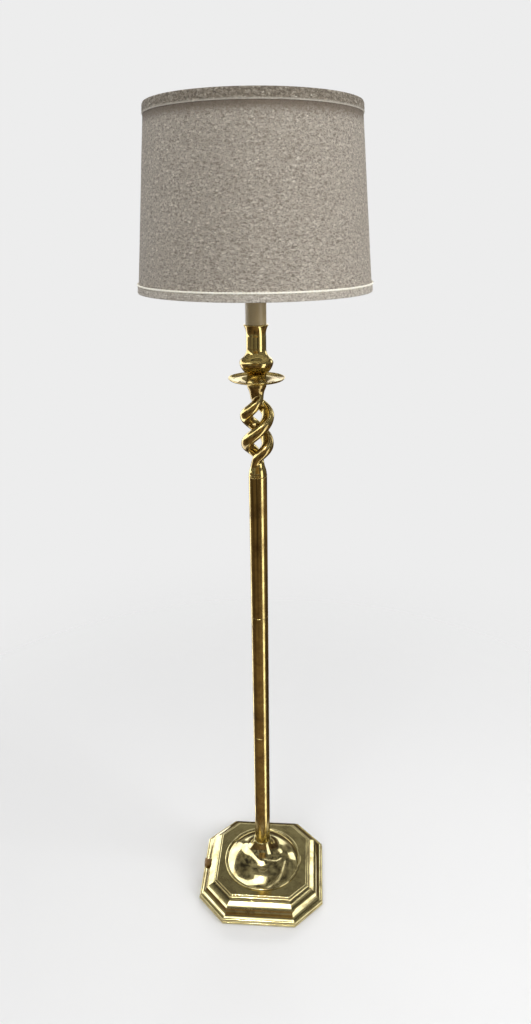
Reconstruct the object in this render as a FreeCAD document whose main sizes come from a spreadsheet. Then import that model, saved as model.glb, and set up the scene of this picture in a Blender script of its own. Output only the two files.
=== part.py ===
"""A candlestick floor lamp: a moulded eight-sided brass base, a three-piece column,
an open barley twist, a drip pan, a candle cup and a tapered fabric shade.

Millimetres. The origin is on the floor under the middle of the column, +Z is up and
-Y faces the viewer. Heights are measured from the floor unless a name says otherwise.
"""
import FreeCAD, Part
import math
import operator
import os
import Sketcher

# ---------------------------------------------------------------- driving sizes

SIZES = {
    # felt and bottom cover
    "felt_thick": 2.2,
    "felt_inset": 7.0,
    "cover_thick": 1.0,
    # moulded base shell, half widths across the main and the corner flats
    "base_half": 124.2,
    "corner_half": 137.7,
    "base_wall": 2.2,
    "shell_lift": 1.0,
    "foot_round": 0.8,
    "foot_top": 5.4,
    "quirk_inset": 1.6,
    "quirk_top": 6.2,
    "band_top": 9.2,
    "band_inset": 4.8,
    "band_shoulder": 11.4,
    "crease_inset": 15.0,
    "crease_top": 25.0,
    "slope_inset": 29.5,
    "slope_top": 34.0,
    "bead_inset": 31.6,
    "bead_top": 37.4,
    "deck_inset": 35.8,
    "deck_top": 39.5,
    "deck_hole": 30.0,
    # cast weight under the deck
    "weight_radius": 78.0,
    "weight_depth": 23.3,
    "weight_chamfer": 4.0,
    "boss_radius": 7.0,
    "boss_circle": 60.0,
    "screw_radius": 2.0,
    "screw_length": 12.0,
    "screw_head_radius": 3.7,
    "screw_head_depth": 1.7,
    # spun dome on the deck
    "dome_flange": 78.7,
    "dome_seat": 7.5,
    "dome_groove": 73.4,
    "dome_edge": 1.4,
    "dome_turn_radius": 44.0,
    "dome_turn_height": 59.0,
    "dome_neck_radius": 16.4,
    "dome_neck_height": 93.0,
    "neck_bead_radius": 17.6,
    "dome_wall": 1.5,
    # threaded pipes
    "pipe_radius": 5.0,
    "pipe_bore": 3.5,
    "pipe_end": 6.6,
    "lower_pipe_entry": 16.0,
    "upper_pipe_entry": 16.0,
    "nut_flats": 14.0,
    "nut_thick": 5.0,
    "washer_radius": 13.0,
    "washer_thick": 1.5,
    # column
    "column_radius": 15.05,
    "column_wall": 1.3,
    "column_foot": 97.8,
    "section_length": 262.1,
    "seam_chamfer": 0.5,
    "ring_length": 18.0,
    # barley twist
    "collar_radius": 15.0,
    "collar_bead": 8.5,
    "waist_radius": 12.0,
    "waist_height": 19.0,
    "twist_start": 19.0,
    "twist_height": 118.0,
    "twist_pitch": 91.0,
    "twist_phase": 99.0,
    "strand_radius": 9.7,
    "strand_low": 15.9,
    "strand_high": 17.9,
    "strand_close": 2.1,
    "strand_ramp": 35.0,
    "throat_height": 128.0,
    "throat_radius": 11.0,
    "capital_height": 145.9,
    "capital_top": 151.9,
    "capital_radius": 15.4,
    # drip pan
    "pan_radius": 44.2,
    "pan_floor_radius": 37.0,
    "pan_rise": 4.6,
    "pan_depth": 8.8,
    "pan_wall": 1.3,
    # candle cup, heights above its foot
    "cup_foot_radius": 17.2,
    "cup_foot_neck": 15.9,
    "cup_foot_height": 14.0,
    "bowl_radius": 26.0,
    "bowl_height": 29.7,
    "shoulder_radius": 22.4,
    "shoulder_height": 37.9,
    "stem_radius": 15.35,
    "stem_low": 53.0,
    "stem_high": 70.5,
    "lip_radius": 18.9,
    "lip_height": 86.6,
    "cup_height": 88.0,
    "cup_recess": 6.8,
    # candle sleeve
    "candle_radius": 15.875,
    "candle_wall": 1.6,
    "candle_length": 86.5,
    "cap_thick": 1.6,
    # harp saddle and harp
    "saddle_thick": 1.5,
    "saddle_width": 14.0,
    "tab_width": 5.0,
    "tab_height": 14.0,
    "leg_offset": 24.0,
    "harp_wire": 2.0,
    "harp_half": 53.0,
    "harp_leg": 38.0,
    "harp_hip": 66.0,
    "harp_shoulder": 138.0,
    "harp_height": 183.4,
    "harp_crown": 22.0,
    "harp_bend": 20.0,
    "harp_hub_radius": 7.0,
    "harp_hub_depth": 3.0,
    "latch_wall": 0.8,
    "latch_length": 12.0,
    "stud_radius": 3.1,
    "stud_shank": 1.9,
    "stud_length": 16.0,
    # lampholder
    "socket_radius": 18.6,
    "socket_wall": 0.9,
    "socket_cap_radius": 17.0,
    "socket_cap_height": 20.0,
    "socket_cap_hub": 9.0,
    "socket_shell_length": 45.0,
    "socket_overlap": 2.5,
    "liner_thick": 0.7,
    "core_length": 20.0,
    "screw_shell_radius": 14.0,
    "screw_shell_wall": 0.5,
    "screw_shell_length": 19.0,
    "contact_radius": 3.0,
    "contact_height": 2.6,
    "knob_height": 14.5,
    "knob_stem_radius": 2.2,
    "knob_reach": 31.0,
    "knob_length": 12.0,
    "knob_half_width": 7.5,
    "knob_half_thick": 3.4,
    # bulb
    "bulb_cap_radius": 13.1,
    "bulb_cap_length": 25.0,
    "bulb_tip_radius": 4.5,
    "bulb_neck_radius": 14.2,
    "bulb_neck_height": 36.0,
    "bulb_radius": 30.0,
    "bulb_length": 110.0,
    # shade
    "shade_height": 239.6,
    "shade_low_radius": 170.2,
    "shade_high_radius": 147.0,
    "shade_wall": 1.2,
    "trim_thick": 1.3,
    "trim_high": 13.5,
    "trim_low": 10.0,
    "piping_radius": 1.25,
    "ring_wire": 1.7,
    "spider_wire": 1.7,
    "washer_drop": 20.6,
    "spider_hub": 9.5,
    "spider_plate": 1.6,
    "spider_flat": 24.0,
    "spider_bend": 14.0,
    # finial, heights above its seat
    "finial_seat": 6.4,
    "finial_neck": 3.9,
    "finial_neck_height": 9.0,
    "finial_ball": 7.4,
    "finial_ball_height": 15.0,
    "finial_height": 27.0,
    # cord bushing in the left side of the base
    "bushing_height": 19.5,
    "bushing_radius": 7.0,
    "bushing_bore": 3.6,
    "bushing_inset": 3.5,
    "bushing_length": 29.0,
    "bushing_nut": 8.6,
    "bushing_nut_thick": 3.0,
    # small flat left where a rounded end meets the axis
    "crown_flat": 0.6,
    # fits
    "slide_fit": 0.2,
    "loose_fit": 0.4,
}

SPIDER_ARMS = 3
COVER_SCREWS = 3
TWIST_STRANDS = 2
STRAND_STEPS = 40

# radius of an arc as a share of the chord it spans
QUARTER_ROUND = 0.7072
HALF_ROUND = 0.505
FULL_CURVE = 1.0
EASY_CURVE = 1.4
SOFT_CURVE = 2.3

ALONG_X = FreeCAD.Vector(1, 0, 0)
ALONG_Y = FreeCAD.Vector(0, 1, 0)
UPWARDS = FreeCAD.Vector(0, 0, 1)
CENTRE = FreeCAD.Vector(0, 0, 0)

document = FreeCAD.newDocument("FloorLamp")
sheet = document.addObject("Spreadsheet::Sheet", "sizes")


# ---------------------------------------------------------------- sizes and formulas

ARITHMETIC = {"+": operator.add, "-": operator.sub, "*": operator.mul, "/": operator.truediv}


class Size:
    """A length that carries its value and the sheet formula that gives it."""

    def __init__(self, value, formula):
        self.value = float(value)
        self.formula = formula

    def __add__(self, other):
        return worked_out(self, "+", other)

    def __radd__(self, other):
        return worked_out(other, "+", self)

    def __sub__(self, other):
        return worked_out(self, "-", other)

    def __rsub__(self, other):
        return worked_out(other, "-", self)

    def __mul__(self, other):
        return worked_out(self, "*", other)

    def __rmul__(self, other):
        return worked_out(other, "*", self)

    def __truediv__(self, other):
        return worked_out(self, "/", other)

    def __neg__(self):
        return worked_out(0, "-", self)


def as_size(number):
    """Return a plain number as a Size, and a Size as it is."""
    if isinstance(number, Size):
        return number
    return Size(number, "%r" % float(number))


def worked_out(left, sign, right):
    """Join two sizes with one of + - * /, in value and in formula."""
    left = as_size(left)
    right = as_size(right)
    value = ARITHMETIC[sign](left.value, right.value)
    return Size(value, "(%s %s %s)" % (left.formula, sign, right.formula))


def root(size):
    """Return the square root of a size."""
    return Size(math.sqrt(size.value), "sqrt(%s)" % size.formula)


def distance(start, end):
    """Return the distance between two outline corners."""
    across = end[0] - start[0]
    up = end[1] - start[1]
    return root(across * across + up * up)


for row, (alias, number) in enumerate(SIZES.items(), start=1):
    sheet.set("A%d" % row, alias.replace("_", " "))
    sheet.set("B%d" % row, "%g" % number)
    sheet.setAlias("B%d" % row, alias)
document.recompute()

size = {alias: Size(number, "sizes.%s" % alias) for alias, number in SIZES.items()}
ZERO = as_size(0)


# ---------------------------------------------------------------- levels up the lamp

felt_top = size["felt_thick"]
cover_top = felt_top + size["cover_thick"]
deck = size["deck_top"]
deck_underside = deck - size["base_wall"]
weight_underside = deck_underside - size["weight_depth"]
column_foot = size["column_foot"]
first_seam = column_foot + size["section_length"]
second_seam = first_seam + size["section_length"]
twist_foot = second_seam + size["section_length"]
twist_base = twist_foot + size["twist_start"]
twist_crown = twist_base + size["twist_height"]
capital_top = twist_foot + size["capital_top"]
pan_floor = capital_top + size["pan_wall"]
cup_rim = pan_floor + size["cup_height"]
candle_foot = cup_rim - size["cup_recess"]
candle_top = candle_foot + size["candle_length"]
saddle_foot = candle_top + size["cap_thick"]
socket_foot = saddle_foot + size["saddle_thick"]
socket_joint = socket_foot + size["socket_cap_height"]
socket_rim = socket_joint + size["socket_shell_length"]
core_foot = socket_joint + size["slide_fit"]
core_top = core_foot + size["core_length"]
bulb_tip = core_top + size["contact_height"] + size["slide_fit"]
knob_axis = socket_joint + size["knob_height"]
harp_top = saddle_foot + size["harp_height"]
stud_seat = harp_top + size["harp_hub_depth"]
spider_level = stud_seat
shade_high = spider_level + size["washer_drop"]
shade_low = shade_high - size["shade_height"]
finial_foot = spider_level + size["spider_plate"]
pipe_hole = size["pipe_radius"] + size["slide_fit"]


# ---------------------------------------------------------------- drawing helpers

def origin_plane(body, role):
    """Return the origin plane of a body that plays this role."""
    for feature in body.Origin.OriginFeatures:
        if feature.Role == role:
            return feature
    raise ValueError(role)


def new_sketch(body, name, role, lift=None):
    """Start a sketch on an origin plane of its body, lifted along its normal."""
    sketch = body.newObject("Sketcher::SketchObject", name)
    sketch.AttachmentSupport = [(origin_plane(body, role), "")]
    sketch.MapMode = "FlatFace"
    if lift is not None:
        sketch.AttachmentOffset = FreeCAD.Placement(UPWARDS * lift.value, FreeCAD.Rotation())
        sketch.setExpression("AttachmentOffset.Base.z", lift.formula)
    return sketch


def bind(sketch, kind, *place, to):
    """Add a constraint and tie it to the formula of its size."""
    index = sketch.addConstraint(Sketcher.Constraint(kind, *place, abs(to.value)))
    sketch.setExpression("Constraints[%d]" % index, to.formula)


def pin(sketch, element, end, corner):
    """Hold one end of a line or arc at a corner of the outline."""
    for axis, kind, where in ((-2, "DistanceX", corner[0]), (-1, "DistanceY", corner[1])):
        if where.value == 0:
            sketch.addConstraint(Sketcher.Constraint("PointOnObject", element, end, axis))
        elif where.value > 0:
            bind(sketch, kind, -1, 1, element, end, to=where)
        else:
            bind(sketch, kind, element, end, -1, 1, to=-where)


def flat_point(corner):
    """Return a corner as a vector in the sketch."""
    return FreeCAD.Vector(corner[0].value, corner[1].value, 0)


def draw_arc(sketch, start, end, share):
    """Draw the short arc from start to end; a positive share bends it to the right hand.

    Returns the element and which of its ends lie at start and at end.
    """
    radius = distance(start, end) * abs(share)
    first, last = flat_point(start), flat_point(end)
    middle = (first + last) * 0.5
    chord = last - first
    left = FreeCAD.Vector(-chord.y, chord.x, 0).normalize()
    reach = math.sqrt(radius.value ** 2 - chord.Length ** 2 / 4)
    middle = middle + left * math.copysign(reach, share)
    angles = [math.atan2(point.y - middle.y, point.x - middle.x) for point in (first, last)]
    if share < 0:
        angles.reverse()
    circle = Part.Circle(middle, UPWARDS, radius.value)
    element = sketch.addGeometry(Part.ArcOfCircle(circle, angles[0], angles[1]))
    ends = (1, 2) if share > 0 else (2, 1)
    return element, ends, radius


def draw_outline(sketch, outline):
    """Draw a closed outline of (across, up) corners.

    A third value makes the stretch that arrives at the corner an arc.
    """
    elements = []
    for index, corner in enumerate(outline):
        start = outline[index - 1]
        if len(corner) == 3:
            elements.append(draw_arc(sketch, start, corner, corner[2]))
        else:
            line = Part.LineSegment(flat_point(start), flat_point(corner))
            elements.append((sketch.addGeometry(line), (1, 2), None))
    for index, (element, ends, radius) in enumerate(elements):
        following, following_ends, _ = elements[(index + 1) % len(elements)]
        sketch.addConstraint(
            Sketcher.Constraint("Coincident", element, ends[1], following, following_ends[0])
        )
        pin(sketch, element, ends[1], outline[index])
        if radius is not None:
            bind(sketch, "Radius", element, to=radius)


def draw_circle(sketch, across, up, radius):
    """Draw a circle at a place in the sketch."""
    centre = FreeCAD.Vector(across.value, up.value, 0)
    element = sketch.addGeometry(Part.Circle(centre, UPWARDS, radius.value))
    pin(sketch, element, 3, (across, up))
    bind(sketch, "Radius", element, to=radius)


def new_body(label):
    """Start a body with this label at the origin."""
    body = document.addObject("PartDesign::Body", label)
    body.Label = label
    body.Placement = FreeCAD.Placement()
    return body


def pad(body, sketch, length, both_ways=False):
    """Pad a sketch by a length, upwards or evenly both ways."""
    feature = body.newObject("PartDesign::Pad", body.Label + "_pad")
    feature.Profile = sketch
    feature.Length = length.value
    feature.setExpression("Length", length.formula)
    if both_ways:
        feature.SideType = "Symmetric"
    body.Tip = feature
    return feature


def turned(label, outline):
    """Make a piece turned about the lamp's axis from half its section."""
    body = new_body(label)
    sketch = new_sketch(body, label + "_section", "XZ_Plane")
    draw_outline(sketch, outline)
    feature = body.newObject("PartDesign::Revolution", label + "_turned")
    feature.Profile = sketch
    feature.ReferenceAxis = (sketch, ["V_Axis"])
    feature.Angle = 360
    body.Tip = feature
    return body


def tube(label, bore, radius, low, high, chamfer=ZERO):
    """Make a plain tube or ring, with its outer corners eased by a chamfer."""
    outline = [(bore, low), (radius - chamfer, low), (radius, low + chamfer),
               (radius, high - chamfer), (radius - chamfer, high), (bore, high)]
    if chamfer.value == 0:
        outline = [(bore, low), (radius, low), (radius, high), (bore, high)]
    return turned(label, outline)


def disc(label, radius, low, high):
    """Make a plain solid disc or pin on the axis."""
    return turned(label, [(ZERO, low), (radius, low), (radius, high), (ZERO, high)])


def octagon_corners(half, corner):
    """Return the eight corners of an octagon from its two half widths."""
    short = corner * math.sqrt(2) - half
    return [(short, -half), (half, -short), (half, short), (short, half),
            (-short, half), (-half, short), (-half, -short), (-short, -half)]


def octagon_plate(label, inset, low, thick, hole):
    """Make an eight-sided plate with a hole for each cover screw."""
    body = new_body(label)
    sketch = new_sketch(body, label + "_outline", "XY_Plane", low)
    draw_outline(sketch, octagon_corners(size["base_half"] - inset, size["corner_half"] - inset))
    for across, up in screw_places():
        draw_circle(sketch, across, up, hole)
    pad(body, sketch, thick)
    return body


def screw_places():
    """Return where the cover screws sit, evenly round the weight."""
    turns = [2 * math.pi * index / COVER_SCREWS + math.pi / 2 for index in range(COVER_SCREWS)]
    circle = size["boss_circle"]
    places = [(circle * math.cos(turn), circle * math.sin(turn)) for turn in turns]
    return [tuple(zeroed(value) for value in place) for place in places]


def zeroed(value):
    """Return a size that is nothing but rounding as a true zero."""
    return ZERO if abs(value.value) < 1e-6 else value


def moulded_octagon(label, outline):
    """Run one moulding round all eight sides and mitre it at the corners.

    The outline gives (inset, height) corners from the foot to the top. Four straight
    mouldings, each as wide as the side it faces, share only the mitred octagon.
    """
    runs = []
    for index in range(4):
        half = size["corner_half"] if index % 2 else size["base_half"]
        right = [(half - corner[0],) + tuple(corner[1:]) for corner in outline]
        left = []
        bends = [corner[2:] for corner in right[1:]] + [()]
        for corner, bend in zip(reversed(right), [()] + bends[-2::-1]):
            left.append((-corner[0], corner[1]) + tuple(bend))
        body = new_body("%s_run_%d" % (label, index + 1))
        sketch = new_sketch(body, body.Label + "_section", "XZ_Plane")
        draw_outline(sketch, [right[0][:2]] + right[1:] + left)
        pad(body, sketch, 4 * size["corner_half"], both_ways=True)
        body.Placement = FreeCAD.Placement(CENTRE, FreeCAD.Rotation(UPWARDS, 45 * index))
        runs.append(body)
    solid = document.addObject("Part::MultiCommon", label)
    solid.Shapes = runs
    return solid


def rod(label, radius, length, place, axis=UPWARDS):
    """Make a plain cylinder that starts at a place and runs along an axis."""
    cylinder = document.addObject("Part::Cylinder", label)
    for name, value in (("Radius", radius), ("Height", length)):
        setattr(cylinder, name, value.value)
        cylinder.setExpression(name, value.formula)
    turn = FreeCAD.Rotation(UPWARDS, axis)
    cylinder.Placement = FreeCAD.Placement(CENTRE, turn)
    for letter, value in zip("xyz", place):
        cylinder.setExpression("Placement.Base.%s" % letter, as_size(value).formula)
    return cylinder


def cut(label, base, tools):
    """Cut tools out of a base."""
    if len(tools) > 1:
        together = document.addObject("Part::MultiFuse", label + "_tools")
        together.Shapes = tools
    else:
        together = tools[0]
    result = document.addObject("Part::Cut", label)
    result.Base = base
    result.Tool = together
    result.Label = label
    return result


def fused(label, pieces):
    """Fuse pieces into one solid."""
    result = document.addObject("Part::MultiFuse", label)
    result.Shapes = pieces
    result.Label = label
    return result


def group(label, pieces):
    """Keep separate solids together under one name."""
    result = document.addObject("Part::Compound", label)
    result.Links = pieces
    result.Label = label
    return result


def shaped(label, shape):
    """Keep a shape that was worked out here from the sheet's sizes."""
    feature = document.addObject("Part::Feature", label)
    feature.Shape = shape
    feature.Label = label
    feature.Placement = FreeCAD.Placement()
    return feature


def bent_path(points, radius):
    """Join points with straight runs and tangent arcs of one radius."""
    edges = []
    start = points[0]
    for before, corner, after in zip(points, points[1:], points[2:]):
        inward = (before - corner).normalize()
        outward = (after - corner).normalize()
        half_turn = inward.getAngle(outward) / 2
        reach = radius / math.tan(half_turn)
        first = corner + inward * reach
        last = corner + outward * reach
        bisector = (inward + outward).normalize()
        middle = corner + bisector * (radius / math.sin(half_turn) - radius)
        edges.append(Part.LineSegment(start, first).toShape())
        edges.append(Part.Arc(first, middle, last).toShape())
        start = last
    edges.append(Part.LineSegment(start, points[-1]).toShape())
    return Part.Wire(edges)


def drawn_wire(path, radius):
    """Sweep a round wire of this radius along a path."""
    start = path.OrderedVertexes[0].Point
    heading = path.OrderedEdges[0].tangentAt(path.OrderedEdges[0].FirstParameter)
    section = Part.Wire([Part.makeCircle(radius, start, heading)])
    sweep = Part.BRepOffsetAPI.MakePipeShell(path)
    sweep.add(section)
    sweep.build()
    sweep.makeSolid()
    return sweep.shape()


# ---------------------------------------------------------------- base

def make_base_shell():
    """The pressed brass base: a moulded octagon, hollow below, with a wide deck hole."""
    foot = size["shell_lift"]
    outline = [
        (size["foot_round"], foot),
        (ZERO, foot + size["foot_round"], QUARTER_ROUND),
        (ZERO, size["foot_top"] - size["foot_round"]),
        (size["quirk_inset"], size["foot_top"], QUARTER_ROUND),
        (size["quirk_inset"], size["quirk_top"]),
        (size["foot_round"], size["quirk_top"] + size["foot_round"]),
        (size["foot_round"], size["band_top"]),
        (size["band_inset"], size["band_shoulder"], QUARTER_ROUND),
        (size["crease_inset"], size["crease_top"], -EASY_CURVE),
        (size["slope_inset"], size["slope_top"], SOFT_CURVE),
        (size["bead_inset"], size["bead_top"], QUARTER_ROUND),
        (size["deck_inset"] - (deck - size["bead_top"]), size["bead_top"]),
        (size["deck_inset"], deck, QUARTER_ROUND),
    ]
    outer = moulded_octagon("base_outside", outline)
    wall = size["base_wall"]
    inside = [
        (wall + size["foot_round"], foot - wall),
        (wall + size["foot_round"], size["band_top"] - wall),
        (size["band_inset"] + wall * 2, size["band_shoulder"]),
        (size["crease_inset"] + wall * 1.5, size["crease_top"] - wall),
        (size["slope_inset"] + wall, size["slope_top"] - wall),
        (size["deck_inset"] + wall, deck_underside),
    ]
    cavity = moulded_octagon("base_inside", inside)
    hole = rod("deck_opening", size["deck_hole"], 2 * deck, (0, 0, 0))
    left = bushing_end()
    bushing_hole = rod("bushing_opening", size["bushing_radius"] + size["slide_fit"] / 2,
                       size["bushing_length"], (left, 0, size["bushing_height"]), ALONG_X)
    return cut("base_shell", outer, [cavity, hole, bushing_hole])


def make_base_weight():
    """The cast weight, clamped up under the deck, with feet for the cover screws."""
    hole = pipe_hole
    radius = size["weight_radius"]
    chamfer = size["weight_chamfer"]
    block = turned("weight_block", [
        (hole, weight_underside), (radius - chamfer, weight_underside),
        (radius, weight_underside + chamfer), (radius, deck_underside - chamfer),
        (radius - chamfer, deck_underside), (hole, deck_underside),
    ])
    feet = []
    bores = []
    for index, (across, along) in enumerate(screw_places(), start=1):
        feet.append(rod("weight_foot_%d" % index, size["boss_radius"],
                        weight_underside + chamfer - cover_top, (across, along, cover_top)))
        bores.append(rod("weight_thread_%d" % index, size["screw_radius"],
                         size["screw_length"] + size["slide_fit"], (across, along, cover_top)))
    casting = fused("weight_casting", [block] + feet)
    return cut("base_weight", casting, bores)


def make_cover_screws():
    """The screws that hold the bottom cover to the weight."""
    screws = []
    for index, (across, along) in enumerate(screw_places(), start=1):
        shank = rod("screw_shank_%d" % index, size["screw_radius"],
                    size["screw_length"] + size["cover_thick"], (across, along, felt_top))
        head = rod("screw_head_%d" % index, size["screw_head_radius"],
                   size["screw_head_depth"],
                   (across, along, felt_top - size["screw_head_depth"]))
        screws.append(fused("cover_screw_%d" % index, [head, shank]))
    return group("cover_screws", screws)


def make_base_dome():
    """The spun dome: a beaded flange, an ogee and a small bead at its neck."""
    wall = size["dome_wall"]
    flange = size["dome_flange"]
    groove = size["dome_groove"]
    neck = size["dome_neck_radius"]
    bead = size["neck_bead_radius"]
    neck_height = size["dome_neck_height"]
    turn = (size["dome_turn_radius"], size["dome_turn_height"])
    return turned("base_dome", [
        (pipe_hole, column_foot - wall),
        (neck - wall, column_foot - wall),
        (neck - wall, neck_height),
        (turn[0] - wall, turn[1] - wall, FULL_CURVE),
        (flange - size["dome_seat"], deck, -SOFT_CURVE),
        (flange, deck),
        (groove, deck + size["dome_edge"], HALF_ROUND),
        (turn[0], turn[1], SOFT_CURVE),
        (neck, neck_height, -FULL_CURVE),
        (neck, column_foot - wall - size["dome_edge"]),
        (bead, column_foot - wall, QUARTER_ROUND),
        (neck, column_foot, QUARTER_ROUND),
        (pipe_hole, column_foot),
    ])


def bushing_end():
    """Return where the outer end of the cord bushing stands, left of the axis."""
    return size["bushing_inset"] - size["base_half"]


def make_cord_bushing():
    """The bushing in the left side of the base, and the ring that holds it inside."""
    left = bushing_end()
    height = size["bushing_height"]
    barrel = rod("bushing_barrel", size["bushing_radius"], size["bushing_length"],
                 (left, 0, height), ALONG_X)
    bore = rod("bushing_bore_tool", size["bushing_bore"], size["bushing_length"],
               (left, 0, height), ALONG_X)
    cut("cord_bushing", barrel, [bore])
    ring_start = left + size["bushing_length"] - size["bushing_nut_thick"]
    ring = rod("bushing_ring_blank", size["bushing_nut"], size["bushing_nut_thick"],
               (ring_start, 0, height), ALONG_X)
    hole = rod("bushing_ring_hole", size["bushing_radius"] + size["slide_fit"] / 2,
               size["bushing_nut_thick"], (ring_start, 0, height), ALONG_X)
    cut("bushing_ring", ring, [hole])


def make_pipe_nut():
    """The hexagon nut and the washer that draw the whole stem down on the weight."""
    washer_low = weight_underside - size["washer_thick"]
    nut_low = washer_low - size["nut_thick"]
    tube("pipe_washer", pipe_hole, size["washer_radius"], washer_low, weight_underside)
    body = new_body("pipe_nut")
    sketch = new_sketch(body, "pipe_nut_outline", "XY_Plane", nut_low)
    corner = size["nut_flats"] / math.sqrt(3)
    turns = [math.pi / 3 * index for index in range(6)]
    draw_outline(sketch, [(corner * math.cos(turn), zeroed(corner * math.sin(turn)))
                          for turn in turns])
    draw_circle(sketch, ZERO, ZERO, size["pipe_radius"] + size["slide_fit"] / 2)
    pad(body, sketch, size["nut_thick"])


def make_base():
    """Everything in the base, from the felt up to the dome."""
    octagon_plate("felt_pad", size["felt_inset"], ZERO, size["felt_thick"],
                  size["screw_head_radius"] + size["loose_fit"])
    octagon_plate("bottom_cover", size["base_wall"] + size["foot_round"] + size["loose_fit"],
                  felt_top, size["cover_thick"], size["screw_radius"] + size["slide_fit"])
    make_base_shell()
    make_base_weight()
    make_cover_screws()
    make_base_dome()
    make_cord_bushing()
    make_pipe_nut()


# ---------------------------------------------------------------- column and pipes

def make_column():
    """Three equal brass tubes on one pipe, each end kept central by a ring."""
    radius = size["column_radius"]
    bore = radius - size["column_wall"]
    seams = [column_foot, first_seam, second_seam, twist_foot]
    for name, low, high in zip(("lower", "middle", "upper"), seams, seams[1:]):
        tube("column_" + name, bore, radius, low, high, size["seam_chamfer"])
    half = size["ring_length"] / 2
    ring_ends = [(column_foot, column_foot + half), (first_seam - half, first_seam + half),
                 (second_seam - half, second_seam + half), (twist_foot - half, twist_foot)]
    rings = []
    for index, (low, high) in enumerate(ring_ends, start=1):
        rings.append(tube("centring_ring_%d" % index, pipe_hole, bore - size["slide_fit"] / 2,
                          low, high))
    group("centring_rings", rings)


def make_pipes():
    """The threaded pipe inside the column, and the one from the twist to the socket."""
    bore = size["pipe_bore"]
    radius = size["pipe_radius"]
    tube("lower_pipe", bore, radius, size["pipe_end"], twist_foot + size["lower_pipe_entry"])
    tube("upper_pipe", bore, radius, capital_top - size["upper_pipe_entry"],
         socket_foot + size["socket_cap_hub"])


# ---------------------------------------------------------------- barley twist

def strand_ease(height):
    """Return how far a strand has opened, 0 at the ends of the twist and 1 between."""
    twist = size["twist_height"].value
    share = min(height, twist - height) / size["strand_ramp"].value
    share = max(0.0, min(1.0, share))
    return share * share * (3 - 2 * share)


def strand_centre(height, strand):
    """Return the middle of a strand at a height above the start of the twist."""
    low = size["strand_low"].value
    high = size["strand_high"].value
    closed = size["strand_close"].value
    opened = low + (high - low) * height / size["twist_height"].value
    reach = closed + (opened - closed) * strand_ease(height)
    level = twist_base.value + height
    full_side = twist_foot.value + size["twist_phase"].value
    turn = 2 * math.pi * ((level - full_side) / size["twist_pitch"].value + strand / TWIST_STRANDS)
    return FreeCAD.Vector(reach * math.cos(turn), reach * math.sin(turn), level)


def make_strand(strand):
    """Sweep one strand of the twist from inside the collar to inside the capital."""
    overlap = size["strand_radius"].value / 2
    length = size["twist_height"].value + 2 * overlap
    heights = [length * step / (STRAND_STEPS - 1) - overlap for step in range(STRAND_STEPS)]
    spine = Part.BSplineCurve()
    spine.interpolate([strand_centre(height, strand) for height in heights])
    return drawn_wire(Part.Wire([spine.toShape()]), size["strand_radius"].value)


def make_barley_twist():
    """The cast twist: a collar, two open strands that wind upwards, and a capital."""
    hole = size["pipe_radius"] + size["slide_fit"] / 2
    foot = twist_foot
    collar = size["collar_radius"]
    waist = size["waist_radius"]
    bead = size["collar_bead"]
    entry = size["lower_pipe_entry"] + size["slide_fit"]
    lower = turned("twist_collar", [
        (hole, foot),
        (collar - size["seam_chamfer"], foot),
        (collar, foot + size["seam_chamfer"]),
        (collar, foot + bead),
        (collar - size["seam_chamfer"], foot + bead + size["seam_chamfer"]),
        (waist, foot + size["waist_height"], -FULL_CURVE),
        (waist, foot + size["waist_height"] + size["seam_chamfer"]),
        (ZERO, foot + size["waist_height"] + size["seam_chamfer"]),
        (ZERO, foot + entry),
        (hole, foot + entry),
    ])
    capital = size["capital_radius"]
    throat = size["throat_radius"]
    bottom = capital_top - size["upper_pipe_entry"] - size["slide_fit"]
    upper = turned("twist_capital", [
        (ZERO, foot + size["throat_height"]),
        (throat, foot + size["throat_height"]),
        (capital, foot + size["capital_height"], -SOFT_CURVE),
        (capital, capital_top - size["seam_chamfer"]),
        (capital - size["seam_chamfer"], capital_top),
        (hole, capital_top),
        (hole, bottom),
        (ZERO, bottom),
    ])
    document.recompute()
    casting = lower.Shape.fuse([make_strand(0), make_strand(1), upper.Shape])
    bores = [Part.makeCylinder(hole.value, entry.value, UPWARDS * foot.value),
             Part.makeCylinder(hole.value, (capital_top - bottom).value, UPWARDS * bottom.value)]
    shaped("barley_twist", casting.cut(bores).Solids[0])


# ---------------------------------------------------------------- pan, cup and candle

def make_drip_pan():
    """The spun drip pan: a shallow dish with a thin turned-up rim."""
    wall = size["pan_wall"]
    dish = (size["pan_floor_radius"], capital_top + size["pan_rise"])
    rim = capital_top + size["pan_depth"]
    radius = size["pan_radius"]
    seat = size["cup_foot_radius"] + size["slide_fit"]
    turned("drip_pan", [
        (pipe_hole, capital_top),
        (seat, capital_top),
        (dish[0], dish[1], -SOFT_CURVE),
        (radius, rim, FULL_CURVE),
        (radius - wall, rim, HALF_ROUND),
        (dish[0] - wall, dish[1] + wall, -FULL_CURVE),
        (seat, pan_floor, SOFT_CURVE),
        (pipe_hole, pan_floor),
    ])


def make_candle_cup():
    """The turned cup: a foot, a round bowl, a waisted stem and a flared, recessed lip."""
    foot = pan_floor
    recess = size["candle_radius"] + size["slide_fit"]
    lip = size["lip_radius"]
    edge = cup_rim - foot - size["lip_height"]
    turned("candle_cup", [
        (pipe_hole, foot),
        (size["cup_foot_radius"], foot),
        (size["cup_foot_neck"], foot + size["cup_foot_height"], -EASY_CURVE),
        (size["bowl_radius"], foot + size["bowl_height"], EASY_CURVE),
        (size["shoulder_radius"], foot + size["shoulder_height"], FULL_CURVE),
        (size["stem_radius"], foot + size["stem_low"], -FULL_CURVE),
        (size["stem_radius"], foot + size["stem_high"]),
        (lip, foot + size["lip_height"], -EASY_CURVE),
        (lip - edge, cup_rim, QUARTER_ROUND),
        (recess, cup_rim),
        (recess, candle_foot),
        (pipe_hole, candle_foot),
    ])


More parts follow.
